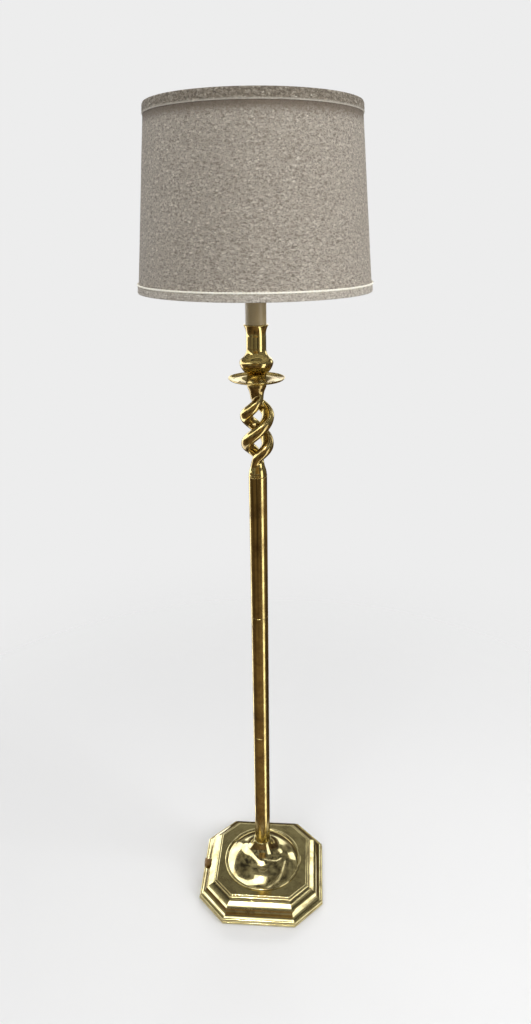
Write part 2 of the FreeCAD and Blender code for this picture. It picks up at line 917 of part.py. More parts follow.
def make_candle():
    """The ivory candle sleeve and the brass cap that closes it under the socket."""
    tube("candle_sleeve", size["candle_radius"] - size["candle_wall"], size["candle_radius"],
         candle_foot, candle_top)
    inner = size["candle_radius"] - size["candle_wall"] - size["slide_fit"]
    turned("candle_cap", [
        (pipe_hole, candle_top - size["cap_thick"]),
        (inner, candle_top - size["cap_thick"]),
        (inner, candle_top),
        (size["candle_radius"], candle_top),
        (size["candle_radius"], saddle_foot),
        (pipe_hole, saddle_foot),
    ])


# ---------------------------------------------------------------- lampholder and bulb

def make_socket():
    """The lampholder: cap, shell, fibre liner, moulded core and the screw shell."""
    wall = size["socket_wall"]
    radius = size["socket_radius"]
    cap = size["socket_cap_radius"]
    hub = size["socket_cap_hub"]
    joint = socket_joint
    turned("socket_cap", [
        (size["pipe_radius"] + size["slide_fit"] / 2, socket_foot),
        (hub, socket_foot),
        (hub, socket_foot + wall),
        (cap, socket_foot + hub, EASY_CURVE),
        (radius + wall, joint),
        (radius + wall, joint + size["socket_overlap"]),
        (radius + size["slide_fit"] / 2, joint + size["socket_overlap"]),
        (radius + size["slide_fit"] / 2, joint),
        (cap - wall, socket_foot + hub + wall),
        (size["pipe_radius"] + size["slide_fit"] / 2, socket_foot + hub),
    ])
    shell = tube("socket_shell_blank", radius - wall, radius, joint, socket_rim)
    hole = rod("stem_opening", size["knob_stem_radius"] + size["loose_fit"],
               radius, (0, -radius * 0.5, knob_axis), -ALONG_Y)
    cut("socket_shell", shell, [hole])
    liner_bore = radius - wall - size["liner_thick"]
    liner = tube("liner_blank", liner_bore, radius - wall - size["slide_fit"] / 2,
                 joint, socket_rim - wall)
    liner_hole = rod("liner_opening", size["knob_stem_radius"] + size["loose_fit"],
                     radius, (0, -radius * 0.5, knob_axis), -ALONG_Y)
    cut("socket_liner", liner, [liner_hole])
    core = disc("core_blank", liner_bore - size["slide_fit"], core_foot, core_top)
    core_hole = rod("core_opening", size["knob_stem_radius"] + size["loose_fit"],
                    radius, (0, -radius * 0.5, knob_axis), -ALONG_Y)
    cut("socket_core", core, [core_hole])
    outer = size["screw_shell_radius"]
    tube("screw_shell", outer - size["screw_shell_wall"], outer, core_top,
         core_top + size["screw_shell_length"])
    disc("centre_contact", size["contact_radius"], core_top, core_top + size["contact_height"])


def make_switch_knob():
    """The turn switch: a stem out of the socket shell and a flat oval grip."""
    body = new_body("switch_knob")
    stem = new_sketch(body, "knob_stem_outline", "XZ_Plane", size["socket_radius"] * 0.55)
    draw_circle(stem, ZERO, knob_axis, size["knob_stem_radius"])
    pad(body, stem, size["knob_reach"] - size["socket_radius"] * 0.55)
    grip = new_sketch(body, "knob_grip_outline", "XZ_Plane", size["knob_reach"])
    half = size["knob_half_width"] - size["knob_half_thick"]
    low = knob_axis - size["knob_half_thick"]
    high = knob_axis + size["knob_half_thick"]
    draw_outline(grip, [(half, low), (half, high, HALF_ROUND), (-half, high),
                        (-half, low, HALF_ROUND)])
    pad(body, grip, size["knob_length"])


def make_bulb():
    """A standard screw bulb: a threaded metal cap with a tip contact, and the glass."""
    cap = size["bulb_cap_radius"]
    cap_top = bulb_tip + size["bulb_cap_length"]
    tip = size["bulb_tip_radius"]
    disc_high = bulb_tip + tip
    turned("bulb_cap", [
        (ZERO, bulb_tip), (tip, bulb_tip + tip / 2), (cap - tip / 2, disc_high),
        (cap, disc_high + tip / 2), (cap, cap_top), (ZERO, cap_top),
    ])
    neck = size["bulb_neck_radius"]
    glass = size["bulb_radius"]
    top = bulb_tip + size["bulb_length"]
    middle = top - glass
    turned("bulb_glass", [
        (ZERO, cap_top), (cap - size["slide_fit"], cap_top),
        (neck, bulb_tip + size["bulb_neck_height"]),
        (glass, middle, -EASY_CURVE),
        (size["crown_flat"], top, QUARTER_ROUND),
        (ZERO, top),
    ])


# ---------------------------------------------------------------- harp

def latch_axis():
    """Return how far off centre the latch sleeves ride, round a leg and its tab."""
    return size["leg_offset"] + (size["saddle_thick"] + size["slide_fit"]) / 2


def make_harp_saddle():
    """The strip clamped under the socket, with a tab turned up at each end."""
    wire = size["harp_wire"].value
    thick = size["saddle_thick"].value
    width = size["saddle_width"].value
    tab_width = size["tab_width"].value
    inner = size["leg_offset"].value + wire + size["slide_fit"].value
    low = saddle_foot.value
    corner = FreeCAD.Vector(-inner - thick, -tab_width / 2, low)
    strip = Part.makeBox(2 * (inner + thick), tab_width, thick, corner)
    plate = Part.makeCylinder(width / 2, thick, UPWARDS * low)
    tabs = []
    for left in (-inner - thick, inner):
        foot = FreeCAD.Vector(left, -tab_width / 2, low)
        tabs.append(Part.makeBox(thick, tab_width, size["tab_height"].value, foot))
    hole = Part.makeCylinder(pipe_hole.value, thick, UPWARDS * low)
    shaped("harp_saddle", strip.fuse([plate] + tabs).removeSplitter().cut(hole))


def make_harp():
    """The wire loop over the bulb, with a drilled hub on its crown."""
    low = socket_foot.value + size["slide_fit"].value
    base = saddle_foot.value
    leg = size["leg_offset"].value
    half = size["harp_half"].value
    right = [(leg, low), (leg, base + size["harp_leg"].value),
             (half, base + size["harp_hip"].value), (half, base + size["harp_shoulder"].value),
             (size["harp_crown"].value, harp_top.value)]
    outline = [(-across, up) for across, up in right] + right[::-1]
    points = [FreeCAD.Vector(across, 0, up) for across, up in outline]
    loop = drawn_wire(bent_path(points, size["harp_bend"].value), size["harp_wire"].value)
    hub_low = harp_top - size["harp_hub_depth"]
    hub = Part.makeCylinder(size["harp_hub_radius"].value, (stud_seat - hub_low).value,
                            UPWARDS * hub_low.value)
    bore = Part.makeCylinder((size["stud_shank"] + size["slide_fit"] / 2).value,
                             (stud_seat - hub_low).value, UPWARDS * hub_low.value)
    shaped("harp", loop.fuse(hub).cut(bore).Solids[0])
    shank_low = hub_low
    turned("harp_stud", [
        (ZERO, shank_low), (size["stud_shank"], shank_low), (size["stud_shank"], stud_seat),
        (size["stud_radius"], stud_seat), (size["stud_radius"], stud_seat + size["stud_length"]),
        (ZERO, stud_seat + size["stud_length"]),
    ])


def make_latches():
    """The two sleeves that slide down over the legs and tabs to lock the harp."""
    bore = size["harp_wire"] * 2 + size["saddle_thick"] + size["slide_fit"]
    corner = root(bore * bore / 4 + size["tab_width"] * size["tab_width"] / 4)
    inner = corner + size["slide_fit"]
    low = socket_foot + size["loose_fit"]
    for name, side in (("left", -1), ("right", 1)):
        place = (latch_axis() * side, 0, low)
        blank = rod("latch_blank_" + name, inner + size["latch_wall"], size["latch_length"], place)
        hole = rod("latch_bore_" + name, inner, size["latch_length"], place)
        cut("harp_latch_" + name, blank, [hole])


# ---------------------------------------------------------------- shade and finial

def shade_radius(height):
    """Return the outer radius of the shade cloth at a height above its lower edge."""
    fall = (size["shade_low_radius"] - size["shade_high_radius"]) / size["shade_height"]
    return size["shade_low_radius"] - fall * height


def band(label, low, high, offset, thick):
    """Make a conical band round the shade, offset outwards from the cloth's face."""
    inner_low = shade_radius(low) + offset
    inner_high = shade_radius(high) + offset
    return turned(label, [
        (inner_low, shade_low + low), (inner_low + thick, shade_low + low),
        (inner_high + thick, shade_low + high), (inner_high, shade_low + high),
    ])


def make_shade():
    """The tapered cloth shade with its trims, piping, lower ring and spider."""
    height = size["shade_height"]
    wall = size["shade_wall"]
    trim = size["trim_thick"]
    band("shade_cloth", ZERO, height, -wall, wall)
    band("trim_high", height - size["trim_high"], height, size["slide_fit"] / 2, trim)
    band("trim_low", ZERO, size["trim_low"], size["slide_fit"] / 2, trim)
    piping = size["piping_radius"]
    level = size["trim_low"] + piping + size["slide_fit"] / 2
    make_ring("shade_piping", shade_radius(level) + piping + size["slide_fit"] / 2,
              shade_low + level, piping)
    wire = size["ring_wire"]
    make_ring("ring_low", shade_radius(wire) - wall - wire - size["slide_fit"],
              shade_low + wire, wire)
    make_spider()


def make_ring(label, radius, level, wire):
    """Make a wire ring about the axis."""
    ring = document.addObject("Part::Torus", label)
    ring.Label = label
    for name, value in (("Radius1", radius), ("Radius2", wire)):
        setattr(ring, name, value.value)
        ring.setExpression(name, value.formula)
    ring.Placement = FreeCAD.Placement(UPWARDS * level.value, FreeCAD.Rotation())
    ring.setExpression("Placement.Base.z", level.formula)
    return ring


def make_spider():
    """The spider: a drilled plate, three wire arms and the ring in the shade's top."""
    wire = size["spider_wire"]
    ring_wire = size["ring_wire"]
    ring_level = size["shade_height"] - ring_wire
    ring_radius = shade_radius(ring_level) - size["shade_wall"] - ring_wire - size["slide_fit"]
    level = (spider_level + wire / 2).value
    hub = size["spider_hub"].value
    hole = (size["stud_radius"] + size["slide_fit"]).value
    plate = Part.makeCylinder(hub, size["spider_plate"].value, UPWARDS * spider_level.value)
    ring = Part.makeTorus(ring_radius.value, ring_wire.value,
                          UPWARDS * (shade_low + ring_level).value)
    points = [FreeCAD.Vector((hole + hub) / 2, 0, level),
              FreeCAD.Vector(size["spider_flat"].value, 0, level),
              FreeCAD.Vector(ring_radius.value, 0, (shade_low + ring_level).value)]
    arm = drawn_wire(bent_path(points, size["spider_bend"].value), wire.value)
    arms = []
    for index in range(SPIDER_ARMS):
        copy = arm.copy()
        copy.rotate(CENTRE, UPWARDS, 90 + 360 * index / SPIDER_ARMS)
        arms.append(copy)
    keep_above = Part.makeCylinder(hub, wire.value * 2,
                                   UPWARDS * (spider_level - wire * 2).value)
    keep_below = Part.makeCylinder(size["finial_seat"].value + 1, wire.value * 2,
                                   UPWARDS * finial_foot.value)
    bore = Part.makeCylinder(hole, wire.value * 4, UPWARDS * (spider_level - wire * 2).value)
    spider = plate.fuse([ring] + arms).cut([bore, keep_above, keep_below])
    shaped("shade_spider", spider.Solids[0])


def make_finial():
    """The turned finial that screws down on the spider."""
    foot = finial_foot
    seat = size["finial_seat"]
    neck = size["finial_neck"]
    ball = size["finial_ball"]
    hole = size["stud_radius"] + size["slide_fit"] / 2
    depth = stud_seat + size["stud_length"] - foot + size["loose_fit"]
    turned("finial", [
        (hole, foot),
        (seat, foot),
        (seat, foot + size["finial_neck_height"] / 3, QUARTER_ROUND),
        (neck + size["slide_fit"], foot + size["finial_neck_height"], -FULL_CURVE),
        (ball, foot + size["finial_ball_height"], QUARTER_ROUND),
        (size["crown_flat"], foot + size["finial_height"], FULL_CURVE),
        (ZERO, foot + size["finial_height"]),
        (ZERO, foot + depth),
        (hole, foot + depth),
    ])


# ---------------------------------------------------------------- build and export

NODES = [
    "felt_pad", "bottom_cover", "cover_screws", "base_shell", "base_weight", "base_dome",
    "cord_bushing", "bushing_ring", "pipe_washer", "pipe_nut", "lower_pipe", "upper_pipe",
    "column_lower", "column_middle", "column_upper", "centring_rings", "barley_twist",
    "drip_pan", "candle_cup", "candle_sleeve", "candle_cap", "harp_saddle", "harp",
    "harp_stud", "harp_latch_left", "harp_latch_right", "socket_cap", "socket_shell",
    "socket_liner", "socket_core", "screw_shell", "centre_contact", "switch_knob",
    "bulb_cap", "bulb_glass", "shade_cloth", "trim_high", "trim_low", "shade_piping",
    "ring_low", "shade_spider", "finial",
]

make_base()
make_column()
make_pipes()
make_barley_twist()
make_drip_pan()
make_candle_cup()
make_candle()
make_socket()
make_switch_knob()
make_bulb()
make_harp_saddle()
make_harp()
make_latches()
make_shade()
make_finial()
document.recompute()

for item in document.Objects:
    if "Invalid" in item.State or "Error" in item.State:
        raise RuntimeError("%s did not build: %s" % (item.Label, item.State))

nodes = {}
for name in NODES:
    node = document.getObjectsByLabel(name)[0]
    if node.Shape.isNull() or not node.Shape.isValid() or not node.Shape.Solids:
        raise RuntimeError("%s has no sound solid" % name)
    nodes[name] = node.Shape

os.makedirs("parts", exist_ok=True)
for name, shape in nodes.items():
    shape.exportStep("parts/%s.step" % name)
    print("%-18s solids %d  volume %.0f" % (name, len(shape.Solids), shape.Volume))
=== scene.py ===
# %% [markdown]
# # A candlestick floor lamp
#
# The lamp is brass from the floor to the candle: a moulded eight-sided base, a plain
# jointed column, an open barley twist, a drip pan and a turned cup. Above it a cloth
# shade hangs on a wire harp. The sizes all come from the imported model, so the script
# starts by loading it. Everything is in metres, with +Z up and -Y towards the viewer.

# %% Load the frame
import math

import bmesh
import bpy
from mathutils import Matrix, Vector, noise as drift_noise


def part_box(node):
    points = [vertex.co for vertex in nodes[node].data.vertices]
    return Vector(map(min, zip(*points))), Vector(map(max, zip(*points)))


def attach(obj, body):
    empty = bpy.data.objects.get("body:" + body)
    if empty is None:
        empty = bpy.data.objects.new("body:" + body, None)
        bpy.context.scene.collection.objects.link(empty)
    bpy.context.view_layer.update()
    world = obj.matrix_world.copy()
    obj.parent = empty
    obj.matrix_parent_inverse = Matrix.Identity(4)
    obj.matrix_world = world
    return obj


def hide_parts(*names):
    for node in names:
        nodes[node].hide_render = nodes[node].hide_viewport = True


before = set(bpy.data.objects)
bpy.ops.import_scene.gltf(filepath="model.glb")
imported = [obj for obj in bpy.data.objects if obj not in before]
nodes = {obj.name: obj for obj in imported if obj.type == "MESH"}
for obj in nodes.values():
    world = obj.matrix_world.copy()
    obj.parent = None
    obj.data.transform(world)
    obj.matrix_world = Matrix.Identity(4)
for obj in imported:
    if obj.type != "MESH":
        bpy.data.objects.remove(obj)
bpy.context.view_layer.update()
MM = 0.001
print("nodes in the model:", len(nodes))

# %% [markdown]
# ## Camera
#
# The photograph looks down a little from standing height. The base then shows its deck
# as a wide ellipse while the shade is seen from just below its top. A camera at the same
# place, with the same angle of view, is the only way to get both ellipses right.

# %% Camera
PHOTO_HEIGHT = 1024
PHOTO_FOCAL_PX = 710.0
SENSOR_MM = 36.0
CAMERA_PLACE = Vector((87.7, -1089.6, 1271.1)) * MM
CAMERA_TURN = math.radians(3.98)
CAMERA_DOWN = math.radians(22.43)
CAMERA_ROLL = math.radians(-0.52)


def make_camera():
    """Put a camera where the photographer stood and make it the scene's camera."""
    data = bpy.data.cameras.new("viewer")
    data.sensor_fit = "VERTICAL"
    data.sensor_height = SENSOR_MM
    data.lens = PHOTO_FOCAL_PX * SENSOR_MM / PHOTO_HEIGHT
    camera = bpy.data.objects.new("viewer", data)
    heading = Matrix.Rotation(CAMERA_TURN, 4, "Z")
    tilt = Matrix.Rotation(math.pi / 2 - CAMERA_DOWN, 4, "X")
    roll = Matrix.Rotation(CAMERA_ROLL, 4, "Z")
    camera.matrix_world = Matrix.Translation(CAMERA_PLACE) @ heading @ tilt @ roll
    bpy.context.scene.collection.objects.link(camera)
    bpy.context.scene.camera = camera
    print("lens in mm:", round(data.lens, 2))


make_camera()

# %% [markdown]
# ## Colours and nodes
#
# Colours are written as the sRGB hex values that a colour picker shows. A renderer works
# in linear light, so one function turns them. A few more add shader nodes with their
# settings and their links, which keeps each material short enough to read.

# %% Helpers for colours and nodes


def linear(hex_colour):
    """Turn an sRGB hex colour into the linear values that shaders use."""
    channels = [int(hex_colour[i:i + 2], 16) / 255 for i in (1, 3, 5)]
    return [c / 12.92 if c <= 0.04045 else ((c + 0.055) / 1.055) ** 2.4 for c in channels] + [1.0]


def connect(tree, value, socket):
    """Link a socket to a node's input, or put a plain value into the input."""
    if isinstance(value, bpy.types.NodeSocket):
        tree.links.new(value, socket)
    else:
        socket.default_value = value


def fill(tree, node, **inputs):
    """Fill or link a node's inputs, each named in plain letters, such as base_color."""
    for name, value in inputs.items():
        socket = next(s for s in node.inputs if s.name.lower().replace(" ", "_") == name)
        connect(tree, value, socket)


def add(tree, kind, settings=None, **inputs):
    """Add a node, set its properties, then fill or link its inputs by name."""
    node = tree.nodes.new(kind)
    for name, value in (settings or {}).items():
        setattr(node, name, value)
    fill(tree, node, **inputs)
    return node


def calculate(tree, operation, *values, clamp=False):
    """Work out one value from sockets or numbers with a Math node."""
    node = add(tree, "ShaderNodeMath", {"operation": operation, "use_clamp": clamp})
    for socket, value in zip(node.inputs, values):
        connect(tree, value, socket)
    return node.outputs[0]


def new_material(name):
    """Start a material and return it with its node tree and its main shader."""
    material = bpy.data.materials.new(name)
    material.use_nodes = True
    tree = material.node_tree
    return material, tree, tree.nodes["Principled BSDF"]


def blend_colours(tree, amount, first, second):
    """Mix two colours, each a hex string or a socket, by an amount."""
    mix = add(tree, "ShaderNodeMix", {"data_type": "RGBA"})
    tree.links.new(amount, mix.inputs[0])
    for socket, value in ((mix.inputs[6], first), (mix.inputs[7], second)):
        connect(tree, linear(value) if isinstance(value, str) else value, socket)
    return mix.outputs[2]


def ramp(tree, value, low, high, start=0.0, end=1.0):
    """Map a value from low..high to start..end, held at the ends."""
    return add(tree, "ShaderNodeMapRange", value=value, from_min=low, from_max=high,
               to_min=start, to_max=end).outputs[0]


def noise(tree, place, size_mm, detail, rough, curl=0.0):
    """Return cloudy noise whose blobs are about this many millimetres across."""
    return add(tree, "ShaderNodeTexNoise", vector=place, scale=1 / (size_mm * MM),
               detail=detail, roughness=rough, distortion=curl).outputs[0]


def object_place(tree, stretch=(1, 1, 1)):
    """Return the point on the piece, in its own metres, stretched along its axes."""
    point = add(tree, "ShaderNodeTexCoord").outputs["Object"]
    return add(tree, "ShaderNodeMapping", vector=point, scale=stretch).outputs[0]


# %% Helpers for shapes


def evenly(start, end, steps):
    """Return the evenly spaced values from start to end."""
    return [start + (end - start) * step / steps for step in range(steps + 1)]


def draw_line(shape, places, closed=False):
    """Draw a line through places and return its points and its edges."""
    points = [shape.verts.new(place) for place in places]
    ahead = points[1:] + points[:1] if closed else points[1:]
    return points, [shape.edges.new(pair) for pair in zip(points, ahead)]


def new_object(name, shape):
    """Turn a bmesh into an object of the scene."""
    mesh = bpy.data.meshes.new(name)
    shape.to_mesh(mesh)
    shape.free()
    made = bpy.data.objects.new(name, mesh)
    bpy.context.scene.collection.objects.link(made)
    return made


# %% [markdown]
# ## Floor, backdrop and light
#
# The lamp stands on a pale floor in a plain pale room. The floor fades out between a
# quarter of a metre and 1.7 m from the lamp, so that it has no edge and no horizon.
# Polished brass has almost no colour of its own: it shows what stands round it. So dark
# screens stand round the lamp, as they do in a studio, with tall windows between them.
# The screens are only there for the brass to reflect: the camera doesn't see them, and
# they neither cast shadows nor light the cloth. Most of the soft lights do the opposite:
# they light the lamp and don't show in the brass.

# %% Floor and world
FLOOR_COLOUR = "#F7F7F7"
FLOOR_SIZE = 8
FLOOR_SOLID_TO = 0.25
FLOOR_CLEAR_FROM = 1.7
ROOM_COLOUR = "#EDEDED"
ROOM_LIGHT = 0.3


def make_floor():
    """Lay a pale floor that keeps the lamp's shadow, fades out, and is clear from below."""
    bpy.ops.mesh.primitive_plane_add(size=FLOOR_SIZE)
    floor = bpy.context.object
    floor.name = "floor"
    material, tree, shader = new_material("studio floor")
    away = add(tree, "ShaderNodeVectorMath", {"operation": "LENGTH"}, vector=object_place(tree))
    fading = add(tree, "ShaderNodeMapRange", {"interpolation_type": "SMOOTHERSTEP"},
                 value=away.outputs["Value"], from_min=FLOOR_SOLID_TO,
                 from_max=FLOOR_CLEAR_FROM, to_min=1.0, to_max=0.0)
    below = add(tree, "ShaderNodeNewGeometry").outputs["Backfacing"]
    fill(tree, shader, base_color=linear(FLOOR_COLOUR), roughness=0.9, specular_ior_level=0.1,
         alpha=calculate(tree, "SUBTRACT", fading.outputs[0], below, clamp=True))
    floor.data.materials.append(material)


def make_world():
    """Light the room evenly, and show it pale to the camera and in reflections."""
    world = bpy.data.worlds.new("room")
    bpy.context.scene.world = world
    world.use_nodes = True
    tree = world.node_tree
    tree.nodes.clear()
    rays = add(tree, "ShaderNodeLightPath")
    seen = rays.outputs["Is Camera Ray"]
    for other in ("Is Transmission Ray", "Is Glossy Ray"):
        seen = calculate(tree, "MAXIMUM", seen, rays.outputs[other])
    light = add(tree, "ShaderNodeBackground", color=linear("#FFFFFF"), strength=ROOM_LIGHT)
    pale = add(tree, "ShaderNodeBackground", color=linear(ROOM_COLOUR), strength=1.0)
    mix = add(tree, "ShaderNodeMixShader")
    for socket, part in zip(mix.inputs, (seen, light.outputs[0], pale.outputs[0])):
        tree.links.new(part, socket)
    add(tree, "ShaderNodeOutputWorld", surface=mix.outputs[0])


make_floor()
make_world()
bpy.context.scene.view_settings.view_transform = "Standard"
print("floor clear from", FLOOR_CLEAR_FROM, "m")

# %% Screens for the brass to reflect
ROOM_RADIUS = 6
ROOM_DARK = "#302D29"
ROOM_LIT = "#A19E94"
CARPET_DARK = "#3A3024"
CARPET_LIT = "#857058"
CLOUD_MM = 1500
SCREENS_AWAY = 4.5
PATCH_FROM = 0.15
PATCH_TO = 5.8
PATCH_STEPS = 48

# Each screen has its brightness, with two colours where it is cloudy, and the line of its
# edges: degrees to the right of the viewer, then degrees up to the lower and upper edge.
SCREENS = {
    "right window": ((2.4,), [(47, 0, 20), (71, 0, 20)]),
    "back right window": ((2.8,), [(127, 12, 30), (133, 12, 30), (140, 12, 30)]),
    "pale far wall": ((1.7,), [(156, 9, 36), (180, 9, 36), (204, 9, 36)]),
    "long skylight": ((2.8,), [(-150, 0, 28), (-128, 2, 28), (-100, 7, 27), (-77, 17, 32),
                               (-50, 31, 46), (-20, 47, 65), (5, 53, 71)]),
    "thin skylight": ((3.0,), [(15, 40, 41.5), (60, 46, 47.5), (100, 50, 52), (125, 44, 46)]),
    "dim ceiling behind": ((0.85, "#A9A69A", "#6C695F"),
                           [(135, 40, 58), (180, 40, 58), (225, 40, 58)]),
    "warm wall behind the viewer": ((0.75, "#B99B6C", "#5A4A35"),
                                    [(-28, 12, 38), (0, 12, 38), (28, 12, 38)]),
}


def reflected_only(name, shape, strength, colour="#FFFFFF", dark=None):
    """Stand a glowing screen in the studio that shows only in reflections."""
    screen = new_object(name, shape)
    material, tree, shader = new_material(name)
    glow = linear(colour)
    if dark:
        cloudy = noise(tree, object_place(tree), CLOUD_MM, 2, 0.5)
        glow = blend_colours(tree, ramp(tree, cloudy, 0.36, 0.64), dark, colour)
    fill(tree, shader, base_color=linear("#000000"), specular_ior_level=0.0,
         emission_color=glow, emission_strength=strength)
    screen.data.materials.append(material)
    for kind in ("camera", "diffuse", "transmission", "volume_scatter", "shadow"):
        setattr(screen, "visible_" + kind, False)


def room_point(turn, lift, away=SCREENS_AWAY):
    """Return a point in the room: degrees right of the viewer, degrees up, metres away."""
    turn, lift = math.radians(turn), math.radians(lift)
    return (away * math.cos(lift) * math.sin(turn), -away * math.cos(lift) * math.cos(turn),
            away * math.sin(lift))


def strip(first, second):
    """Fill the strip between two rows of points."""
    shape = bmesh.new()
    edges = draw_line(shape, first)[1] + draw_line(shape, second)[1]
    bmesh.ops.bridge_loops(shape, edges=edges)
    return shape


def floor_strip(name, start, end, height, *look):
    """Lay a patch on the floor, from beside the base out to the walls."""
    near, far = ([Vector(room_point(turn, 0, away)) + Vector((0, 0, height))
                  for turn in evenly(start, end, PATCH_STEPS)] for away in (PATCH_FROM, PATCH_TO))
    reflected_only(name, strip(near, far), *look)


def make_screens():
    """Stand the dark screens and the bright windows that the brass reflects."""
    shell = bmesh.new()
    bmesh.ops.create_icosphere(shell, subdivisions=4, radius=ROOM_RADIUS)
    reflected_only("dark room", shell, 1.0, ROOM_LIT, ROOM_DARK)
    floor_strip("dark carpet", 0, 359.9, 0.001, 1.0, CARPET_LIT, CARPET_DARK)
    floor_strip("right light on the floor", 47, 71, 0.002, 2.4)
    floor_strip("left light on the floor", -146, -118, 0.002, 2.2)
    for name, (look, spans) in SCREENS.items():
        low = [room_point(turn, bottom) for turn, bottom, top in spans]
        high = [room_point(turn, top) for turn, bottom, top in spans]
        reflected_only(name, strip(low, high), *look)


make_screens()
print("windows and walls round the lamp:", len(SCREENS))

# %% Lights


def soft_light(name, place, target, width, height, watts, shows=True, lights=True):
    """Hang a rectangular lamp that faces a target.

    The brass shows it if shows is true, and it lights matt surfaces if lights is true.
    """
    data = bpy.data.lights.new(name, "AREA")
    data.shape = "RECTANGLE"
    data.size = width
    data.size_y = height
    data.energy = watts
    lamp = bpy.data.objects.new(name, data)
    facing = (Vector(target) - Vector(place)).to_track_quat("-Z", "Y")
    lamp.matrix_world = Matrix.Translation(place) @ facing.to_matrix().to_4x4()
    lamp.visible_glossy = shows
    lamp.visible_diffuse = lights
    bpy.context.scene.collection.objects.link(lamp)


def light_lamp():
    """Place the studio lights round the lamp."""
    soft_light("overhead light", (-0.2, -1.25, 2.5), (0, 0, 0), 1.3, 0.9, 8)
    soft_light("ceiling spot", (-0.14, -0.9, 2.24), (0, 0, 0), 0.1, 0.1, 8, lights=False)
    soft_light("ceiling panel", (-1.0, 0.4, 3.2), (-1.0, 0.4, 0), 3.0, 3.0, 20, shows=False)
    soft_light("right light", (2.5, -0.9, 1.6), (0, 0, 1.1), 1.4, 1.4, 45, shows=False)
    soft_light("front light", (-0.9, -2.7, 1.7), (0, 0, 1.2), 1.4, 1.4, 19, shows=False)
    soft_light("far back light", (0.6, 6.0, 3.6), (0, 0, 0), 5.0, 0.5, 128, shows=False)


light_lamp()
print("lights:", len(bpy.data.lights))

# %% [markdown]
# ## Polished brass
#
# Yellow brass, about two parts copper to one of zinc, is polished with a mop and then
# left to dull. What the eye sees is a warm metal with a clear reflection, a haze of fine
# rubbing marks, and brown tarnish that gathers in patches. The tarnish changes both the
# colour and the roughness, so one noise drives both. Nothing that has been on a polishing
# mop keeps a sharp edge, so the shader rounds each edge by half a millimetre.

# %% Brass
BRASS_BRIGHT = "#D2BE7C"
BRASS_DEEP = "#8F774B"
BASE_BRIGHT = "#D6CA97"
BASE_DEEP = "#9C8D62"
EDGE_ROUND = 0.5 * MM


def brass(name, bright=BRASS_BRIGHT, deep=BRASS_DEEP, smooth=0.08, dull=0.22,
          grain=(1, 1, 1), stretch=0.0):
    """Polished brass with soft tarnish and fine rubbing marks along its grain."""
    material, tree, shader = new_material(name)
    place = object_place(tree)
    patches = noise(tree, place, 26, 5, 0.6)
    specks = noise(tree, place, 1.6, 2, 0.5)
    rubbing = noise(tree, object_place(tree, grain), 0.7, 2, 0.5)
    tarnish = calculate(tree, "MAXIMUM", ramp(tree, patches, 0.42, 0.72),
                        ramp(tree, specks, 0.66, 0.74, 0, 0.8))
    rough = calculate(tree, "ADD", ramp(tree, rubbing, 0.3, 0.7, 0.0, 0.06),
                      ramp(tree, tarnish, 0, 1, smooth, dull))
    edges = add(tree, "ShaderNodeBevel", {"samples": 4}, radius=EDGE_ROUND)
    bump = add(tree, "ShaderNodeBump", strength=0.06, distance=0.05 * MM, height=rubbing,
               normal=edges.outputs[0])
    fill(tree, shader, base_color=blend_colours(tree, tarnish, bright, deep),
         roughness=rough, normal=bump.outputs[0], metallic=1.0)
    if stretch:
        around = add(tree, "ShaderNodeTangent", {"direction_type": "RADIAL", "axis": "Z"})
        fill(tree, shader, tangent=around.outputs[0], anisotropic=stretch)
    return material


def dress(material, *names):
    """Give a material to pieces of the model."""
    for name in names:
        nodes[name].data.materials.clear()
        nodes[name].data.materials.append(material)


dress(brass("pressed brass, polished", BASE_BRIGHT, BASE_DEEP), "base_shell")
dress(brass("spun brass, polished", BASE_BRIGHT, BASE_DEEP, 0.06, 0.15), "base_dome")
dress(brass("drawn brass tube, polished", smooth=0.1, dull=0.2, grain=(1, 1, 0.05),
            stretch=0.6), "column_lower", "column_middle", "column_upper")
dress(brass("turned brass, polished", smooth=0.07, dull=0.17, grain=(0.1, 0.1, 1)),
      "drip_pan", "candle_cup", "finial", "candle_cap")
dress(brass("pressed brass, bright dipped", smooth=0.14, dull=0.28), "socket_cap", "socket_shell",
      "screw_shell", "centre_contact")
dress(brass("brass-plated steel wire", smooth=0.16, dull=0.3, grain=(1, 1, 0.2)), "harp_saddle",
      "harp", "harp_stud", "harp_latch_left", "harp_latch_right")
print("brass finishes:", len([m for m in bpy.data.materials if "brass" in m.name]))

# %% [markdown]
# ## Plain materials
#
# The rest are small or hidden: painted steel, zinc plate, cast iron, moulded plastic,
# fibre card and glass. Each has one colour with a little unevenness in the colour, the
# gloss and the surface, so one function makes them all.

# %% Plain materials


def plain(name, colour, shade, rough, metal=0.0, size_mm=3.0, bumps_mm=0.02, coat=0.0):
    """An even material whose colour, gloss and surface waver a little."""
    material, tree, shader = new_material(name)
    cloudy = noise(tree, object_place(tree), size_mm * 6, 3, 0.55)
    fine = noise(tree, object_place(tree), size_mm, 2, 0.5)
    bump = add(tree, "ShaderNodeBump", strength=0.4, distance=bumps_mm * MM, height=fine)
    fill(tree, shader, base_color=blend_colours(tree, ramp(tree, cloudy, 0.35, 0.7), colour, shade),
         roughness=ramp(tree, fine, 0.3, 0.7, rough * 0.85, rough * 1.15),
         normal=bump.outputs[0], metallic=metal, coat_weight=coat)
    return material


